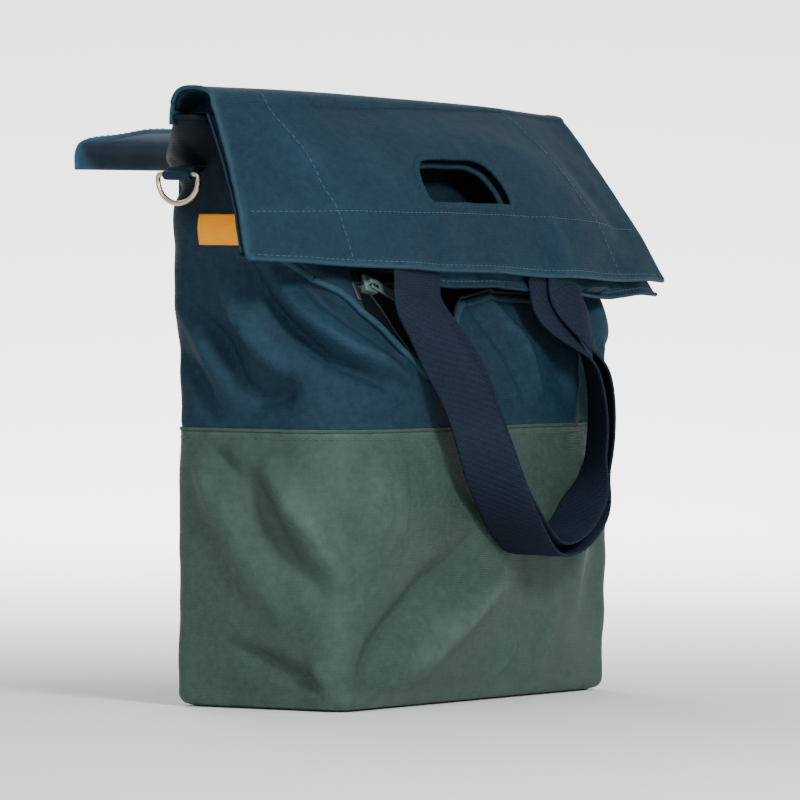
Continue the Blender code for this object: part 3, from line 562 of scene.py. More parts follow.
def refined_copy(node, name, mat, bevel):
    """A copy of a CAD node with softened edges, which stands in for it."""
    def soften(bm):
        bmesh.ops.remove_doubles(bm, verts=bm.verts, dist=0.00002)
        bmesh.ops.dissolve_limit(bm, angle_limit=math.radians(1.5), verts=bm.verts, edges=bm.edges)
        sharp = [e for e in bm.edges if len(e.link_faces) == 2 and e.calc_face_angle(0) > math.radians(32)]
        bmesh.ops.bevel(bm, geom=sharp, offset=bevel, offset_type="OFFSET", segments=2, profile=0.6,
                        affect="EDGES", clamp_overlap=True)

    mesh = bpy.data.meshes.new(name)
    rework(mesh, soften, source=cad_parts[node].data)
    mesh.materials.append(MATS[mat])
    mesh.polygons.foreach_set("material_index", [0] * len(mesh.polygons))
    mesh.shade_smooth()
    mesh.set_sharp_from_angle(angle=math.radians(38))
    obj = placed(name, mesh)
    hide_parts(node)
    return obj


def attach(piece, body_name, slot_name, *nodes):
    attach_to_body(piece, body_name)
    if nodes:
        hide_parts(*nodes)
    return piece


# ---- materials ----
class Nodes:
    """A new material, and short ways to write its nodes."""

    def __init__(self, name):
        self.mat = bpy.data.materials.new(name)
        self.mat.use_nodes = True
        where = self.mat.node_tree.nodes.new("ShaderNodeTexCoord").outputs
        self.solid, self.cloth = where["Object"], where["UV"]

    def put(self, target, value):
        """Link a socket to the target, or write a number or an (r, g, b) colour into it."""
        if isinstance(value, bpy.types.NodeSocket):
            self.mat.node_tree.links.new(value, target)
        else:
            target.default_value = (*value, 1.0) if isinstance(value, tuple) else value

    def add(self, kind, output, inputs=(), **settings):
        """Add a node, fill its inputs and return one of its outputs."""
        node = self.mat.node_tree.nodes.new(kind)
        for key, value in settings.items():
            setattr(node, key, value)
        for key, value in inputs:
            self.put(node.inputs[key], value)
        return node.outputs[output]

    def maths(self, operation, a, b):
        return self.add("ShaderNodeMath", 0, ((0, a), (1, b)), operation=operation)

    def times(self, a, b):
        return self.maths("MULTIPLY", a, b)

    def noise(self, scale, detail=4.0, rough=0.55):
        return self.add("ShaderNodeTexNoise", "Fac", (("Vector", self.solid), ("Scale", scale),
                                                      ("Detail", detail), ("Roughness", rough)))

    def span(self, value, low, high, to_low=0.0, to_high=1.0):
        return self.add("ShaderNodeMapRange", "Result", (
            ("Value", value), ("From Min", low), ("From Max", high), ("To Min", to_low), ("To Max", to_high)))

    def mix(self, factor, a, b):
        return self.add("ShaderNodeMix", 2, ((0, factor), (6, a), (7, b)), data_type="RGBA", blend_type="MIX")

    def waves(self, vector, pitch, direction, bend=0.0):
        """Waves that repeat every pitch metres."""
        return self.add("ShaderNodeTexWave", "Fac", (
            ("Vector", vector), ("Scale", math.tau / 20 / pitch), ("Distortion", bend)),
            bands_direction=direction, wave_profile="SIN")

    def bump(self, height, strength, distance, under=None):
        inputs = [("Strength", strength), ("Distance", distance), ("Height", height)]
        if under is not None:
            inputs.append(("Normal", under))
        return self.add("ShaderNodeBump", "Normal", inputs)

    def attribute(self, name):
        return self.add("ShaderNodeAttribute", "Fac", attribute_name=name)

    def finish(self, colour, roughness, normal=None, specular=None, metallic=None):
        """Fill the shader's inputs and return the material."""
        for key, value in (("Base Color", colour), ("Roughness", roughness), ("Normal", normal),
                           ("Specular IOR Level", specular), ("Metallic", metallic)):
            if value is not None:
                self.put(self.mat.node_tree.nodes["Principled BSDF"].inputs[key], value)
        return self.mat


def coated_canvas(name, deep, main, light, roughness=0.56, pitch=0.0011, specular=0.15):
    """Matt coated polyester: a plain weave, cloudy shade, pale creases where the coating is worn, and painted
    shade where a vertex attribute asks for it.
    """
    n = Nodes(name)
    cloud = n.span(n.noise(11.0, 5.0, 0.6), 0.32, 0.7)
    speck = n.span(n.noise(240.0, 3.0, 0.7), 0.35, 0.75)
    weave = n.times(n.waves(n.cloth, pitch, "X", 0.35), n.waves(n.cloth, pitch * 1.15, "Y", 0.35))
    colour = n.mix(cloud, deep, main)
    colour = n.mix(n.times(speck, 0.22), colour, light)
    colour = n.mix(n.times(weave, 0.16), colour, light)
    rubbed = n.times(n.attribute("wear"), n.span(n.noise(95.0), 0.3, 0.62))
    colour = n.mix(rubbed, colour, light)
    # painted shade: a vertex attribute pulls the colour towards a very deep tone where shade falls
    colour = n.mix(n.attribute("painted_shade"), colour, tuple(c * 0.3 for c in deep))
    soft = n.bump(n.noise(62.0, 5.0, 0.6), 0.32, 0.0016)
    return n.finish(colour, n.span(cloud, 0.0, 1.0, roughness - 0.05, roughness + 0.09),
                    n.bump(weave, 0.42, 0.0004, soft), specular)


def webbing(name, deep, main, light):
    """Polyester webbing: ribs across, a herringbone down the middle, slightly fuzzy."""
    n = Nodes(name)
    ribs = n.waves(n.cloth, 0.0016, "Y", 0.5)
    slant = n.waves(n.cloth, 0.0024, "DIAGONAL", 0.8)
    weave = n.maths("ADD", n.times(ribs, 0.6), n.times(slant, 0.4))
    fuzz = n.noise(420.0, 4.0, 0.7)
    colour = n.mix(n.span(n.noise(24.0), 0.3, 0.7), deep, main)
    colour = n.mix(n.times(weave, 0.3), colour, light)
    colour = n.mix(n.times(n.span(fuzz, 0.45, 0.8), 0.3), colour, light)
    return n.finish(colour, n.span(fuzz, 0.2, 0.8, 0.7, 0.9),
                    n.bump(weave, 0.55, 0.0006, n.bump(fuzz, 0.3, 0.0004)), 0.06)


def thread(name, colour, pale):
    n = Nodes(name)
    twist = n.waves(n.solid, 0.0007, "DIAGONAL", 0.6)
    return n.finish(n.mix(n.times(twist, 0.5), colour, pale), 0.6, n.bump(twist, 0.4, 0.0002))


def metal(name, colour, stained, roughness, metallic=1.0):
    """Metal or enamel with faint smears, small scratches and dull spots."""
    n = Nodes(name)
    smear = n.span(n.noise(85.0, 5.0, 0.6), 0.35, 0.7)
    scratch = n.waves(n.solid, 0.0012, "DIAGONAL", 9.0)
    return n.finish(n.mix(n.times(smear, 0.6), colour, stained),
                    n.span(smear, 0.0, 1.0, roughness, roughness + 0.18),
                    n.bump(scratch, 0.08, 0.0002), metallic=metallic)


def moulded(name, colour, pale, roughness):
    """Moulded nylon with a fine spark-eroded grain and rubbed spots."""
    n = Nodes(name)
    rub = n.span(n.noise(60.0, 5.0, 0.6), 0.52, 0.78)
    grain = n.noise(900.0, 3.0, 0.6)
    return n.finish(n.mix(n.times(rub, 0.5), colour, pale),
                    n.span(rub, 0.0, 1.0, roughness, roughness - 0.12), n.bump(grain, 0.35, 0.0003), 0.22)


def label_cloth(name):
    """Plain woven label with a satin border."""
    n = Nodes(name)
    weave = n.times(n.waves(n.cloth, 0.0007, "X"), n.waves(n.cloth, 0.0009, "Y"))
    colour = n.mix(n.span(n.noise(70.0), 0.3, 0.7), (0.95, 0.3, 0.003), (1.00, 0.37, 0.004))
    colour = n.mix(n.times(weave, 0.35), colour, (0.98, 0.42, 0.03))
    return n.finish(colour, 0.65, n.bump(weave, 0.5, 0.0004), 0.15)


def pale_floor(name):
    n = Nodes(name)
    return n.finish(n.mix(n.times(n.noise(3.0), 0.3), (0.88, 0.88, 0.88), (0.93, 0.93, 0.93)), 0.8)


MATS = {
    "navy": coated_canvas("navy_canvas", (0.0047, 0.015, 0.0258), (0.0086, 0.0262, 0.043),
        (0.027, 0.08, 0.12), 0.6, specular=0.11),
    # a darker copy of the navy canvas: painted shade, for the mouth's rolled edge in the fold's shadow
    "shade": coated_canvas("navy_canvas_painted_shade", (0.002, 0.0052, 0.009), (0.0034, 0.0085, 0.014),
        (0.01, 0.024, 0.036), 0.7),
    "green": coated_canvas("green_canvas", (0.0235, 0.045, 0.0365), (0.0395, 0.069, 0.0565),
        (0.095, 0.155, 0.132), 0.52, specular=0.16),
    # a lighter copy of the navy canvas: painted highlight along the pocket's lip, the flap's ends and its
    # outer hem
    "edge": coated_canvas("navy_canvas_edge_painted_highlight", (0.0085, 0.032, 0.05), (0.015, 0.05, 0.074),
        (0.036, 0.095, 0.13)),
    # a brighter blue than the navy: partly the cover's own colour, partly painted light, raised because the
    # cover's underside lies in shade
    "cover": coated_canvas("blue_canvas_with_painted_light", (0.014, 0.05, 0.085), (0.0215, 0.073, 0.12),
        (0.045, 0.125, 0.185)),
    "lining": coated_canvas("dark_lining_cloth", (0.0022, 0.003, 0.0045), (0.004, 0.0055, 0.008),
        (0.011, 0.014, 0.019), 0.72, 0.0009),
    "webbing": webbing("navy_webbing_weave", (0.006, 0.0096, 0.0176), (0.0098, 0.0158, 0.0275),
        (0.025, 0.038, 0.061)),
    "binding": webbing("navy_binding_weave", (0.006, 0.02, 0.03), (0.011, 0.033, 0.048),
        (0.035, 0.08, 0.105)),
    "tape": webbing("zip_tape_weave", (0.002, 0.0035, 0.006), (0.004, 0.006, 0.01),
        (0.01, 0.015, 0.023)),
    "thread": thread("blue_thread", (0.024, 0.062, 0.083), (0.048, 0.105, 0.13)),
    "green_thread": thread("green_thread", (0.042, 0.07, 0.058), (0.062, 0.098, 0.082)),
    "dark_thread": thread("dark_thread", (0.007, 0.013, 0.023), (0.02, 0.033, 0.05)),
    "orange_thread": thread("orange_thread", (0.9, 0.33, 0.008), (0.95, 0.5, 0.05)),
    "dark_metal": metal("zip_stop_metal", (0.05, 0.06, 0.07), (0.025, 0.03, 0.035), 0.4, 0.6),
    "slider": metal("zip_enamel", (0.15, 0.23, 0.22), (0.09, 0.145, 0.14), 0.34, 0.45),
    "steel": metal("plated_steel", (0.74, 0.63, 0.48), (0.42, 0.33, 0.22), 0.2),
    "coil": moulded("zip_coil_nylon", (0.006, 0.01, 0.016), (0.03, 0.04, 0.052), 0.42),
    "hook": moulded("black_nylon", (0.008, 0.0082, 0.009), (0.03, 0.03, 0.033), 0.46),
    "board": moulded("stiffening_board", (0.042, 0.043, 0.046), (0.09, 0.09, 0.095), 0.6),
    "label": label_cloth("orange_label_cloth"),
    "floor": pale_floor("pale_floor"),
}


# ---- camera, light and floor ----
def look_at(position, target, roll_up):
    back = (Vector(position) - Vector(target)).normalized()
    right = Vector(roll_up).cross(back).normalized()
    turn = Matrix((right, back.cross(right), back)).transposed()
    return Matrix.Translation(position) @ turn.to_4x4()


def make_camera():
    """The camera stands where the photo was taken from, and shares its small roll."""
    data = bpy.data.cameras.new("camera")
    data.lens = 372.0
    data.sensor_width = 36.0
    data.clip_end = 100.0
    cam = placed("camera", data)
    cam.matrix_world = look_at((-4.0899, -2.4836, 0.284), (0.006, 0.0, 0.172), (0.0346, 0.029, 0.999))
    bpy.context.scene.camera = cam


# name, place, the point it looks at, size and power
LAMPS = (("key", (-0.85, -1.45, 1.1), (0.0, 0.0, 0.18), 0.45, 31.0),
         ("fill", (-2.8, -0.3, 1.3), (0.0, 0.0, 0.2), 1.6, 21.0),
         ("rim", (1.6, 1.9, 1.9), (0.0, 0.0, 0.2), 1.2, 26.0),
         ("backdrop_wash", (1.6, 1.0, 3.2), (5.2, 3.1, 0.8), 2.5, 760.0))
BACKDROP_AIM = (0.8618, 0.5053, 0.0)       # away from the camera
BACKDROP_HALF, BACKDROP_RISE = 12.5, 10.0  # half its width and depth, and the radius of its rising curve
FLOOR_Z = -0.0004                          # just under the bag


def make_stage():
    world = bpy.data.worlds.new("studio")
    world.use_nodes = True
    sky = world.node_tree.nodes["Background"].inputs
    sky["Color"].default_value = (0.93, 0.95, 1.0, 1.0)
    sky["Strength"].default_value = 0.6
    bpy.context.scene.world = world
    for name, position, target, size, power in LAMPS:
        data = bpy.data.lights.new(name, "AREA")
        data.shape = "DISK"
        data.size = size
        data.energy = power
        lamp = placed(name, data)
        lamp.matrix_world = look_at(position, target, (0, 0, 1))
        lamp.visible_camera = False
    flat_end = BACKDROP_HALF - BACKDROP_RISE
    outline = [(-BACKDROP_HALF, 0.0)]
    outline += [(flat_end + BACKDROP_RISE * math.sin(t), BACKDROP_RISE - BACKDROP_RISE * math.cos(t))
                for t in quarter(28)]
    aim = Vector(BACKDROP_AIM).normalized()
    side = Vector((aim.y, -aim.x, 0.0))
    verts = [aim * forward + side * across + Vector((0, 0, height + FLOOR_Z))
             for forward, height in outline for across in (-BACKDROP_HALF, BACKDROP_HALF)]
    faces = [(2 * i, 2 * i + 1, 2 * i + 3, 2 * i + 2) for i in range(len(outline) - 1)]
    new_object("floor", verts, faces, "floor")


# ---- the body ----
def body_wear(a, z):
    """Where the coating is rubbed: crests of the folds, the corners, the base's edge and the seam."""
    crest = np.clip(fold_height(a, z, BODY_FOLDS) / 0.005, 0, 1) ** 1.5 * 0.35
    corner = bell(np.abs(a) - HALF_W, 0.004) * 0.1
    return np.clip(crest + corner + bell(z, 0.005) * 0.5 + bell(z - SEAM_Z, 0.0022) * 0.5, 0, 1)


def make_body():
    girth = np.linspace(-HALF_GIRTH, HALF_GIRTH, 361)[:-1]
    # green tub: walls, and rows below 0 that run in under the base to a small middle ring
    wall = np.concatenate((even(0.0, 0.012, 0.0015), even(0.0145, SEAM_Z + 0.0005, 0.0027)))
    under = np.array([0.03, 0.25, 0.5, 0.72, 0.88, 0.96]) - 1

    def tub(a, row, out):
        z = np.maximum(row, 0.0)
        points = body(a, z, out)
        points[..., :2] *= np.where(row < 0, 1 + row, 1.0)[..., None]
        points[..., 2] = np.where(row < 0, np.maximum(0.0002, 0.0002 - out), points[..., 2])
        points[..., 2] += np.where((row >= 0) & (z < 0.002) & (out < 0), FABRIC, 0.0)
        return points

    piece = slab("tub_fabric", girth, np.concatenate((under, wall)), tub, -FABRIC, 0.0, "green lining",
                 closed_u=True, wear=lambda a, z: body_wear(a, np.maximum(z, 0.0)))

    def fill_base(bm):
        # the rows end in a small ring in the middle of the base
        bmesh.ops.holes_fill(bm, edges=[e for e in bm.edges if e.is_boundary], sides=0)

    rework(piece.data, fill_base)
    attach(piece, "bag", "green_fabric", "lower_shell")

    # navy body, with the pocket's mouth left open in the front
    low_rows = even(SEAM_Z - 0.005, ZIP_LOW_Z, 0.0024)
    rows = np.concatenate((low_rows, even(ZIP_HIGH_Z, MOUTH_Z, 0.0025)))

    def mouth(a, row):
        return row == len(low_rows) - 1 and abs(a) < ZIP_HALF

    def navy(a, z, out):
        return body(a, z, out - 0.0008 * smooth((SEAM_Z + 0.004 - z) / 0.003))

    piece = slab("navy_body_fabric", girth, rows, navy, -FABRIC, 0.0, "navy lining", closed_u=True,
                 skip=mouth, wear=body_wear)
    x, y, z = points_of(piece.data).T
    # painted shade: the colour is darkened under the flap's fold on the neck's sides, and on the front above
    # the pocket's mouth
    under_fold_shade = ramp(z, 0.262, 0.045) * ramp(np.abs(x), 0.14, 0.012)
    pocket_shade = ramp(z, 0.236, 0.012) * smooth((0.15 - np.abs(x)) / 0.02) * (y < 0)
    put_values(piece.data, "painted_shade", 0.92 * under_fold_shade + 0.4 * pocket_shade)
    attach(piece, "bag", "navy_fabric", "upper_shell")

    # the seam: a turned edge of green fabric, and a row of thread under it
    a = np.linspace(-HALF_GIRTH, HALF_GIRTH, 481)[:-1]
    line = surface_line(body, a, SEAM_Z + 0.0004, 0.0002)
    edge = tube("tub_top_edge", *line, 0.0022, 0.0011, "green", 8, closed=True, power=0.8)
    attach(edge, "bag", "green_fabric")
    rows = [surface_line(body, a, SEAM_Z - 0.0042, 0.0001)]
    attach(stitches("tub_stitches", rows, "green_thread"), "bag", "green_fabric")
    # rows of thread at the back of the mouth and under the zip, and the mouth's rolled edge
    rows = [surface_line(body, np.linspace(0.262, 0.552, 220), MOUTH_Z - 0.015, 0.0001),
            surface_line(body, np.linspace(-0.15, 0.122, 300), ZIP_LOW_Z - 0.003, 0.0001)]
    attach(stitches("mouth_stitches", rows, "dark_thread"), "bag", "navy_fabric")
    # the mouth's rolled edge takes the darker navy copy: painted shade
    line = surface_line(body, a, MOUTH_Z, -FABRIC / 2)
    edge = tube("mouth_edge", *line, 0.003, 0.0024, "shade", 8, closed=True, power=0.8)
    attach(edge, "bag", "navy_fabric")


# ---- pocket and zip ----
TAPE_TOP_Z = ZIP_HIGH_Z + 0.001
TAPE_WIDTH = 0.0068
COIL_WIDE, COIL_THICK, COIL_PITCH = 0.0021, 0.0019, 0.0014
COIL_SIDES = 6
TAPE_HALF = 0.1145
ZIP_OUTWARD = Vector((0.0, -0.895125, 0.445815))  # square to the zip's plane
LIP_START = -0.176                                # the lip's left end, under the flap's corner


def make_pocket():
    low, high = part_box("pocket_lining")
    half = high.x
    top_z, floor_z = ZIP_HIGH_Z + 0.003, low.z + 0.004

    def pouch(u, v, out):
        """u runs across; v runs down behind the bag's front, and up again to the zip's lower edge."""
        deep = np.clip(v / 0.5, 0, 1)
        rise = np.clip((v - 0.5) / 0.5, 0, 1)
        rear_z = top_z + (floor_z - top_z) * deep
        across = np.cos(u / half * math.pi / 2 * 0.96)
        belly = 0.01 * np.sin(math.pi * deep) ** 0.6 * across * (1 - 0.25 * deep)
        rear_y = body_levels(rear_z)[0] + 0.003 + 0.007 * smooth(deep / 0.12) + belly \
            + 0.0008 * ripple(u, rear_z, 31, 0.045) + out
        rear = np.stack((u, rear_y, rear_z), -1)
        front = body(u, floor_z + (ZIP_LOW_Z - 0.0015 - floor_z) * rise, -0.003 - 0.4 * out)
        foot = smooth(rise / 0.1)[..., None]
        return np.where((v < 0.5)[..., None], rear, rear * (1 - foot) + front * foot)

    us = even(-half, half, 0.0045)
    piece = slab("pocket_pouch", us, np.linspace(0, 1, 58), pouch, 0.0, THIN_CLOTH, "lining")
    attach(piece, "bag", "lining", "pocket_lining")

    # the pocket's lower lip is in the lighter edge canvas: painted highlight
    a = np.linspace(LIP_START, 0.121, 260)
    rising = np.interp(a, (LIP_START, -0.165, -0.15), (0.26, 0.253, 0.2438))
    out = 0.0003 - 0.001 * ramp(a, -0.01, 0.03)
    lip = surface_line(body, a, np.where(a < -0.15, rising, ZIP_LOW_Z - 0.0012), out)
    attach(tube("pocket_lip", *lip, 0.0046, 0.0036, "edge", 12, power=0.85), "bag", "navy_fabric")

    # tapes: narrow woven bands sewn behind the fabric's edges, each with its coil
    join_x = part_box("zip_slider")[0].x + 0.004      # to the left of this, the zip is closed

    def upper(x, k):
        """k runs from the fabric's edge, 0, to the coil, 1."""
        return body(x, TAPE_TOP_Z - TAPE_WIDTH * k, -0.0004, folded=False)

    def lower(x, k):
        hem = body(x, ZIP_LOW_Z - 0.0012, -0.0011)
        coil = body(x, TAPE_TOP_Z - TAPE_WIDTH - COIL_WIDE, -0.0018, folded=False)
        closed = smooth((join_x + 0.012 - x) / 0.018)[..., None]
        open_edge = hem + np.array([0.0, 0.0002, 0.0045])
        return hem + (coil * closed + open_edge * (1 - closed) - hem) * k[..., None]

    for side, place, steps in (("upper", upper, 160), ("lower", lower, 260)):
        def band(u, v, out, place=place):
            p = place(u, v)
            p[..., 1] -= out
            return p

        xs = np.linspace(-TAPE_HALF, TAPE_HALF, steps)
        tape = slab(f"zip_tape_{side}_weave", xs, np.linspace(0, 0.9, 5), band, 0.0, 0.0007, "tape")
        attach(tape, "bag", "zip_tape", f"zip_tape_{side}")
        tape_line = place(xs, np.full(xs.shape, 0.96))
        run = np.concatenate(([0.0], np.cumsum(np.linalg.norm(np.diff(tape_line, axis=0), axis=1))))
        fine = np.arange(0.0, run[-1], COIL_PITCH / 4)
        line = np.stack([np.interp(fine, run, tape_line[:, k]) for k in range(3)], -1)
        line[:, 1] -= 0.0007
        coil = tube(f"zip_coil_{side}_teeth", line, [(0.0, -0.9, 0.4)] * len(line), COIL_WIDE, COIL_THICK,
                    "coil", COIL_SIDES, power=1.0)
        centre = np.repeat(line, COIL_SIDES, axis=0)
        swell = 0.72 + 0.36 * np.abs(np.sin(np.repeat(fine, COIL_SIDES) * math.pi / COIL_PITCH)) ** 0.7
        swollen = centre + (points_of(coil.data) - centre) * swell[:, None]
        coil.data.vertices.foreach_set("co", swollen.ravel())
        attach(coil, "bag", "zip_coil", f"zip_coil_{side}")
    for name in ("zip_stop_left", "zip_stop_right"):
        attach(refined_copy(name, f"{name}_metal", "dark_metal", 0.0005), "bag", "zip_metal")

    # the slider hangs a little askew on the open zip, and its puller droops to the right
    def turned(centre, degrees):
        turn = Matrix.Rotation(math.radians(degrees), 4, ZIP_OUTWARD)
        return Matrix.Translation(centre) @ turn @ Matrix.Translation(-centre)

    slider_low, slider_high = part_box("zip_slider")
    puller_low, puller_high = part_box("zip_puller")
    hinge = (puller_low + puller_high) / 2
    hinge.x = puller_low.x + 0.0014
    askew = turned((slider_low + slider_high) / 2, -12)
    for name, turn in (("zip_slider", askew), ("zip_puller", askew @ turned(hinge, -14))):
        metal_copy = refined_copy(name, f"{name}_metal", "slider", 0.0005)
        metal_copy.data.transform(turn)
        attach(metal_copy, name, "zip_metal")


# ---- flap ----
# the hand hole: how far its middle is above the hem, half its width and height, and its upper and lower
# corner radii
HOLE_UP, HOLE_HALF, HOLE_RISE = 0.053, 0.045, 0.015
HOLE_BIG, HOLE_SMALL = 0.021, 0.005
CORNER_STEPS = 7
GUSSET_DEPTH = 0.017


def hole_outline(grow):
    """Hand hole in (x, d): flat lower edge, arched upper edge."""
    middle = FLAP_DROP - HOLE_UP
    half, low, high = HOLE_HALF + grow, middle + HOLE_RISE + grow, middle - HOLE_RISE - grow
    big, small = HOLE_BIG + grow, HOLE_SMALL + grow
    points = []
    for cx, cy, r, start in ((half - small, low - small, small, 90), (half - big, high + big, big, 0),
                             (-half + big, high + big, big, -90), (-half + small, low - small, small, -180)):
        for k in range(CORNER_STEPS + 1):
            angle = math.radians(start - 90 * k / CORNER_STEPS)
            points.append((cx + r * math.cos(angle), cy + r * math.sin(angle)))
    return points


def pierced_sheet(name, xs, ds, place, outline):
    """A flat sheet in (x, d) with a hand hole cut through it, then bent to its place.

    While it is flat, it is drawn ten times too thick, to give the cut clean crossings.
    """
    thick = FLAP_FABRIC / 2
    flat = slab(name, xs, ds, lambda u, v, out: np.stack((u, v, 0 * u + out * 10), -1), -thick, thick, "navy")

    def prism(bm):
        reach = thick * 10 + 0.02
        ends = [[bm.verts.new((x, d, z)) for x, d in outline] for z in (-reach, reach)]
        for end in ends:
            bm.faces.new(end)
        for i in range(len(outline)):
            j = (i + 1) % len(outline)
            bm.faces.new((ends[0][i], ends[0][j], ends[1][j], ends[1][i]))

    cutter = placed("hole_cutter", bpy.data.meshes.new("hole_cutter"))
    rework(cutter.data, prism)
    modifier = flat.modifiers.new("hole", "BOOLEAN")
    modifier.operation = "DIFFERENCE"
    modifier.object = cutter
    bpy.context.view_layer.update()
    mesh = bpy.data.meshes.new_from_object(flat.evaluated_get(bpy.context.evaluated_depsgraph_get()))
    flat.modifiers.clear()
    old = flat.data
    flat.data = mesh
    bpy.data.meshes.remove(old)
    bpy.data.objects.remove(cutter)
    mesh.name = name
    co = points_of(mesh)
    put_uvs(mesh, co[:, :2])
    put_values(mesh, "wear", flap_wear(co[:, 0], co[:, 1]))
    mesh.vertices.foreach_set("co", place(co[:, 0], co[:, 1], co[:, 2] / 10).ravel())
    rework(mesh, lambda bm: bmesh.ops.triangulate(bm, faces=[f for f in bm.faces if len(f.verts) > 4]))
    mesh.shade_smooth()
    mesh.set_sharp_from_angle(angle=math.radians(55))
    return flat


def flap_wear(x, d):
    crest = np.clip(fold_height(x, d, FLAP_FOLDS) / 0.002, 0, 1) * 0.15
    hem = bell(d - FLAP_DROP, 0.0022) * 0.8
    ends = bell(np.abs(x) - FLAP_HALF, 0.003) * 0.8
    return np.clip(hem + ends + bell(d + 0.014, 0.008) * 0.35 + crest, 0, 1)


def roll_with_flap(piece, *nodes):
    """The piece runs from the bag's neck over the roll to the flap; its CAD nodes are hidden and its
    transform is baked in.
    """
    if nodes:
        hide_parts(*nodes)
    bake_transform(piece)


def gusset_place(side):
    """Place function of one end of the flap: the tube's side, tucked in from the neck to the hem."""
    def place(k, v, out):
        """k runs along the end, v across it from the outer layer to the inner one."""
        d = -ROLL + 0.004 + (ROLL - 0.004 + FLAP_DROP - 0.003) * k
        depth = GUSSET_DEPTH * np.sin(math.pi * v) ** 0.7 * (1 + 0.22 * np.sin(d * 160)) + out
        edge = side * (FLAP_HALF - 0.0016 - depth)
        outer_edge = flap(edge, d, -0.0014)
        layer = inner_layer(edge - side * 0.0024, np.maximum(d, 0.006), 0.0014)
        along = np.clip((d + ROLL) / ROLL, 0, 1)
        neck = np.stack((edge - side * 0.002, MOUTH_BACK_Y - 0.001 - 0.0175 * along,
                         MOUTH_Z - 0.001 + 0.0045 * ramp(along, 0.6, 0.4)), -1)
        share = ramp(d, -0.006, 0.012)[..., None]
        inside = neck * (1 - share) + layer * share
        return outer_edge + (inside - outer_edge) * v[..., None]
    return place


def make_flap():
    xs = even(-FLAP_HALF, FLAP_HALF, 0.003)
    ds = np.concatenate((even(-ROLL, 0.0, 0.002), even(0.0026, FLAP_DROP, 0.0026)))
    outer = pierced_sheet("flap_outer_fabric", xs, ds, flap, hole_outline(0.0))
    roll_with_flap(outer, "flap_outer")
    xs = even(-FLAP_HALF + 0.0035, FLAP_HALF - 0.0035, 0.003)
    ds = even(0.004, INNER_DROP, 0.0026)
    inner = pierced_sheet("flap_inner_fabric", xs, ds, inner_layer, hole_outline(0.001))
    attach(inner, "flap", "navy_fabric", "flap_inner")

    # bound edges of the hand hole
    outline = hole_outline(0.0012)
    dense = []
    for p, q in zip(outline, outline[1:] + outline[:1]):
        steps = max(1, int(math.dist(p, q) / 0.0025))
        dense += [(p[0] + (q[0] - p[0]) * k / steps, p[1] + (q[1] - p[1]) * k / steps) for k in range(steps)]
    hole_x, hole_d = np.array(dense).T
    # the last item of each layer is its hem's cloth; the outer hem's lighter edge canvas is a painted
    # highlight
    layers = (("outer", flap, FLAP_DROP, "edge"), ("inner", inner_layer, INNER_DROP, "navy"))
    for name, place, _, _ in layers:
        line = surface_line(place, hole_x, hole_d, 0.0)
        ring = tube(f"hand_hole_edge_{name}", *line, 0.0044, 0.003, "binding", 10, closed=True, power=0.75)
        attach(ring, "flap", "binding", f"hand_hole_binding_{name}")

    # the flap's two ends, each with a turned edge
    d = even(-ROLL + 0.006, FLAP_DROP - 0.001, 0.0024)
    for name, side in (("left", -1), ("right", 1)):
        gusset = slab(f"flap_gusset_{name}", np.linspace(0, 1, 70), np.linspace(0, 1, 15), gusset_place(side),
                      0.0, THIN_CLOTH, "navy")
        roll_with_flap(gusset, f"flap_side_seam_{name}")
        line = surface_line(flap, side * (FLAP_HALF - 0.0005), d, 0.0)
        # these turned edges are in the lighter edge canvas: painted highlight
        roll_with_flap(tube(f"flap_edge_{name}", *line, 0.003, 0.0027, "edge", 8, power=0.9))

    # hems: turned edges along the bottom of both layers
    x = even(-FLAP_HALF + 0.001, FLAP_HALF - 0.001, 0.003)
    for name, place, bottom, cloth in layers:
        line = surface_line(place, x, bottom - 0.0004, 0.0)
        attach(tube(f"flap_hem_{name}", *line, 0.0026, 0.0028, cloth, 8, power=0.9), "flap", "navy_fabric")

    # topstitching: the facing's two rows, and the two slanting seams
    x = even(-FLAP_HALF + 0.006, FLAP_HALF - 0.006, 0.002)
    rows = [surface_line(flap, x, FLAP_DROP - up, 0.0009) for up in (0.032, 0.003)]
    t = np.linspace(0.0, 1.0, 120)
    for top_x, low_x in ((-0.151, -0.127), (0.118, 0.15)):
        seam_x = top_x + (low_x - top_x) * t
        rows.append(surface_line(flap, seam_x, -0.01 + (FLAP_DROP + 0.008) * t, 0.0009))
    attach(stitches("flap_stitches", rows, "thread"), "flap", "navy_fabric")
    rows = [surface_line(inner_layer, x, INNER_DROP - 0.003, 0.0009)]
    attach(stitches("flap_inner_stitches", rows, "thread"), "flap", "navy_fabric")


# ---- handles ----
# the straps' middle lines, from the left sewn end to the right one
REAR_ROUTE = mm(((-80.5, -59, 241.5), (-80, -62, 228), (-70, -72, 202),
              (-54, -80, 176), (-29, -84, 131), (-6, -83, 105),
              (26.5, -79, 85), (62, -78.5, 88), (90, -78.5, 108),
              (106, -78, 137), (111.5, -77.5, 170), (106, -75, 198),
              (88, -70, 224), (81.2, -65, 236.5), (80.5, -61, 241.5)))
FRONT_ROUTE = mm(((-62, -55.6, 241.5), (-61.6, -59, 228), (-56, -70, 203),
               (-44, -76.5, 179), (-21.5, -78.5, 135), (-1, -78.5, 111),
               (28.5, -78.5, 91.5), (59, -78.5, 94.5), (83, -78.5, 112),
               (97.5, -78.5, 138.5), (101, -77.5, 170), (93, -74, 199),
               (68, -63, 227), (62, -57.6, 241.5)))
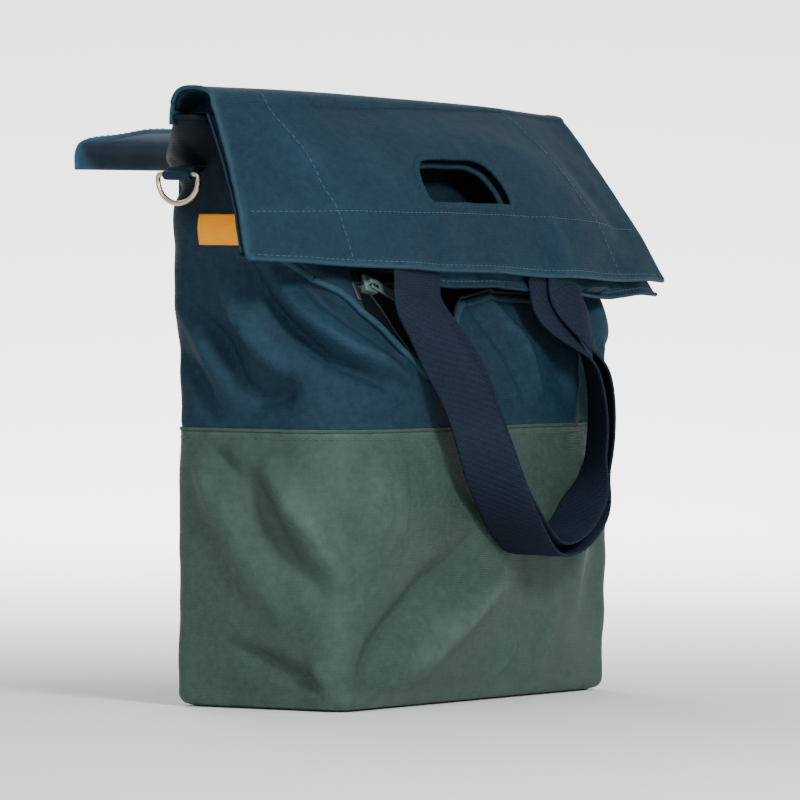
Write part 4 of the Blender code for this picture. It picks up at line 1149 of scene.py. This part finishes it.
# the way the strap's flat face looks, by share of its length
FACING = ((0.0, (0.0, -1.0, 0.0)), (0.2, (-0.45, -0.9, 0.0)), (0.38, (-0.9, -0.3, -0.3)),
          (0.52, (0.0, 0.05, -1.0)), (0.62, (0.86, 0.0, -0.45)), (0.7, (0.76, -0.58, -0.12)),
          (0.84, (0.7, -0.66, 0.05)), (1.0, (0.0, -1.0, 0.0)))
STRAP_WIDTH = 0.032
STRAP_THICKNESS = 0.002


def smooth_route(points, steps):
    """Catmull-Rom curve through the points, with the same number of steps in every span."""
    route = [Vector(p) for p in points]
    route = [route[0] * 2 - route[1]] + route + [route[-1] * 2 - route[-2]]
    line = []
    for i in range(1, len(route) - 2):
        p0, p1, p2, p3 = route[i - 1:i + 3]
        for k in range(steps):
            t = k / steps
            line.append(0.5 * (2 * p1 + (p2 - p0) * t + (2 * p0 - 5 * p1 + 4 * p2 - p3) * t * t
                               + (3 * p1 - p0 - 3 * p2 + p3) * t ** 3))
    line.append(route[-2])
    return line


def facing_at(t):
    """The way the strap's face looks at the share t of its length."""
    for (t0, n0), (t1, n1) in zip(FACING, FACING[1:]):
        if t <= t1:
            return Vector(n0).lerp(Vector(n1), float(ramp(t, t0, t1 - t0))).normalized()
    return Vector(FACING[-1][1])


def blurred(line):
    """The line's inner points weighed with their neighbours; the sums are four times too long."""
    return [a + b * 2 + c for a, b, c in zip(line, line[1:], line[2:])]


def make_handles():
    for name, route, depth in (("rear", REAR_ROUTE, 0.002), ("front", FRONT_ROUTE, 0.0043)):
        loop = smooth_route(route, 9)
        run = [0.0]
        for p, q in zip(loop, loop[1:]):
            run.append(run[-1] + (q - p).length)
        facing = [facing_at(r / run[-1]) for r in run]
        for point in loop:
            under_hem = float(curve(point.x, HEM_Y)) + depth
            point.y += (under_hem - point.y) * float(ramp(point.z, 0.215, 0.026))
        # the sewn ends run up between the flap's layers
        ends = []
        for x in (route[0][0], route[-1][0]):
            d = np.linspace(FLAP_DROP - 0.026, FLAP_DROP - 0.003, 8)
            points = flap(x, d, 0.0, folded=False) + flap_shift(x, d, depth)
            ends.append([Vector(p) for p in points])
        line = ends[0] + loop + ends[1][::-1]
        outward = [Vector((0.0, -0.86, -0.5)).normalized()] * len(ends[0])
        facing = outward + facing + outward
        for _ in range(3):
            facing = [facing[0]] + [v.normalized() for v in blurred(facing)] + [facing[-1]]
            line = [line[0]] + [v / 4 for v in blurred(line)] + [line[-1]]
        strap = tube(f"handle_{name}_webbing", line, facing, STRAP_WIDTH, STRAP_THICKNESS, "webbing", 20,
                     power=0.35)
        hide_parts(f"handle_{name}", f"{name}_handle_end_left", f"{name}_handle_end_right")
        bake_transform(strap)


# ---- side pieces ----
def ring_outline(low, high, wire):
    """(y, z) of a D-ring's wire: a straight bar with two small corners at the top, and a round below."""
    corner = 0.0022
    bar_z = high.z - wire / 2
    mid_y = (low.y + high.y) / 2
    bow = (high.y - low.y - wire) / 2
    middle_z = low.z + wire / 2 + bow
    inset, under = bow - corner, bar_z - corner
    points = [(mid_y - inset, bar_z), (mid_y, bar_z), (mid_y + inset, bar_z)]
    points += [(mid_y + inset + corner * math.sin(t), under + corner * math.cos(t)) for t in quarter(4, 1)]
    points += [(mid_y + bow * math.cos(t), middle_z - bow * math.sin(t)) for t in np.linspace(0, math.pi, 29)]
    points += [(mid_y - inset - corner * math.cos(t), under + corner * math.sin(t)) for t in quarter(4)[:-1]]
    return points


def tab_route(side, x, mid_y, bar_z, top):
    """(distance out, z) of a webbing tab: down the bag's side, round the ring's bar and back up."""
    loop = 0.0027              # radius of the tab's turn round the bar
    half = 0.0105              # half the tab's width, and a little more
    reach = np.linspace(0.15, 0.3, 151)

    def skin_at(z):
        near = body(side * reach, z)
        return float(np.abs(near[np.abs(near[:, 1] - mid_y) < half, 0]).max())

    route = []
    for t in (k / 7 for k in range(8)):
        z = top + (bar_z + 0.003 - top) * t
        out = skin_at(z) + 0.0012
        route.append((max(out, x - loop) if t > 0.8 else out, z))
    for k in range(1, 13):
        angle = math.pi * 1.12 * k / 12
        route.append((x - loop * math.cos(angle), bar_z - loop * math.sin(angle)))
    for t in (k / 7 for k in range(1, 8)):
        z = bar_z + 0.001 + (top - 0.002 - bar_z) * t
        route.append((skin_at(z) + 0.0034 + 0.003 * (1 - t) ** 2, z))
    return route


def make_side_pieces():
    for name, side in (("left", -1), ("right", 1)):
        low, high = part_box(f"d_ring_{name}")
        wire = high.x - low.x
        x = (low.x + high.x) / 2
        mid_y = (low.y + high.y) / 2
        line = [(x, y, z) for y, z in ring_outline(low, high, wire)]
        facing = [(1, 0, 0)] * len(line)
        ring = tube(f"d_ring_{name}_wire", line, facing, wire, wire, "steel", 14, closed=True, power=1.0)
        attach(ring, f"d_ring_{name}", "steel", f"d_ring_{name}")

        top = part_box(f"d_ring_tab_{name}")[1].z - 0.0115
        route = tab_route(side, x * side, mid_y, high.z - wire / 2, top)
        facing = []
        for before, after in zip(route[:1] + route, route[1:] + route[-1:]):
            facing.append((side * (after[1] - before[1]), 0.0, before[0] - after[0]))
        line = [(side * out, mid_y, z) for out, z in route]
        tab = tube(f"d_ring_tab_{name}_webbing", line, facing, 0.018, 0.0017, "navy", 16, power=0.5)
        attach(tab, "bag", "webbing", f"d_ring_tab_{name}")

    # label on the left side, sewn down all round
    low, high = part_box("side_label")
    ys, zs = even(low.y, high.y, 0.0015), even(low.z, high.z, 0.0015)

    def label(y, z, out):
        front, back, wide, r1, r2 = body_levels(z)
        around = wide + (y - front) - (2 - math.pi / 2) * r1
        total = 2 * wide + (back - front) - (2 - math.pi / 2) * (r1 + r2)
        return body(-around * HALF_GIRTH / total, z, out)

    attach(slab("side_label_cloth", ys, zs, label, 0.0003, 0.0014, "label"), "bag", "label", "side_label")
    rows = [surface_line(label, ys, z, 0.0014) for z in (low.z + 0.0012, high.z - 0.0012)]
    rows += [surface_line(label, y, zs, 0.0014) for y in (low.y + 0.0014, high.y - 0.0014)]
    attach(stitches("side_label_stitches", rows, "orange_thread", 0.0018, 0.0008, 0.0002), "bag", "label")


# ---- hooks and their cover ----
CAD_LOOKS = {"steel": ("lock_pin_left", "lock_pin_right", "lock_spring_left", "lock_spring_right",
                       "hook_backing_strip", "hook_rivet_1", "hook_rivet_2", "hook_rivet_3", "hook_rivet_4"),
             "board": ("bottom_board", "back_stiffener")}


def make_hooks():
    for side in ("left", "right"):
        hook, lever = f"hook_{side}", f"lock_lever_{side}"
        attach(refined_copy(hook, f"{hook}_moulding", "hook", 0.0007), "bag", "hook_plastic")
        attach(refined_copy(lever, f"{lever}_moulding", "hook", 0.0004), lever, "hook_plastic")
    for mat, nodes in CAD_LOOKS.items():
        for node in nodes:
            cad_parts[node].data.materials[0] = MATS[mat]

    attach(refined_copy("cover_closure_strip", "cover_closure_loops", "webbing", 0.0005), "bag", "webbing")
    low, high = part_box("cover_closure_strip")
    x0, x1, z0, z1 = low.x + 0.003, high.x - 0.003, low.z + 0.0025, high.z - 0.0025
    ring = [(x0, high.y, z0), (x1, high.y, z0), (x1, high.y, z1), (x0, high.y, z1)]
    outward = np.tile((0.0, 1.0, 0.0), (30, 1))
    rows = [(np.linspace(p, q, 30), outward) for p, q in zip(ring, ring[1:] + ring[:1])]
    attach(stitches("cover_closure_stitches", rows, "dark_thread"), "bag", "webbing")


COVER_THICK = 0.0032


def cover_line(t):
    """(y, z) of the hook cover's middle surface, from the bag's back (0) to its hanging lip (1)."""
    y0, y1 = STRIP_LOW.y + 0.0005, COVER_HIGH.y - 0.0012
    top, end = STRIP_HIGH.z - 0.0008, COVER_LOW.z - 0.007
    y = curve(t, ((0.0, y0), (0.2, y0 + 0.02), (0.45, y0 + 0.046), (0.7, y0 + 0.071), (0.82, y1 - 0.005),
                  (0.89, y1 - 0.0008), (1.0, y1)))
    z = curve(t, ((0.0, top), (0.2, top + 0.002), (0.45, top + 0.002), (0.7, top - 0.0004),
                  (0.82, top - 0.0034), (0.89, top - 0.0085), (1.0, end)))
    return y, z


def make_cover():
    half = COVER_HIGH.x

    def cover(x, t, out):
        y, z = cover_line(t)
        (y1, z1), (y2, z2) = cover_line(t - 0.01), cover_line(t + 0.01)
        length = np.hypot(y2 - y1, z2 - z1)
        edge = 1 - 0.55 * np.clip((np.abs(x) - half + 0.006) / 0.006, 0, 1) ** 2
        lip = 1 - 0.4 * np.clip((t - 0.93) / 0.07, 0, 1) ** 2
        lift = out * edge * lip + 0.0008 * ripple(x, t * 0.1, 51, 0.05) * ramp(t, 0.3, 0.3)
        return np.stack((x + 0 * y, y - (z2 - z1) / length * lift, z + (y2 - y1) / length * lift), -1)

    def wear(x, t):
        return 0.7 * bell(t - 1, 0.03) + 0.6 * bell(np.abs(x) - half, 0.002)

    thick = COVER_THICK / 2
    # the cover's blue is partly painted light, brightened for its shaded underside
    piece = slab("hook_cover_fabric", even(-half, half, 0.003), np.linspace(0, 1, 52), cover, -thick, thick,
                 "cover", wear=wear)
    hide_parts("hook_cover_strip", "hook_cover")
    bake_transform(piece)
    side_x = half - 0.0045
    t = np.linspace(0.36, 0.965, 60)
    rows = [surface_line(cover, side * side_x, t, thick) for side in (-1, 1)]
    rows.append(surface_line(cover, even(-side_x, side_x, 0.003), 0.955, thick * 0.95))
    attach(stitches("hook_cover_stitches", rows, "thread"), "hook_cover", "navy_fabric")


make_camera()
make_stage()
make_body()
make_pocket()
make_flap()
make_handles()
make_side_pieces()
make_hooks()
make_cover()
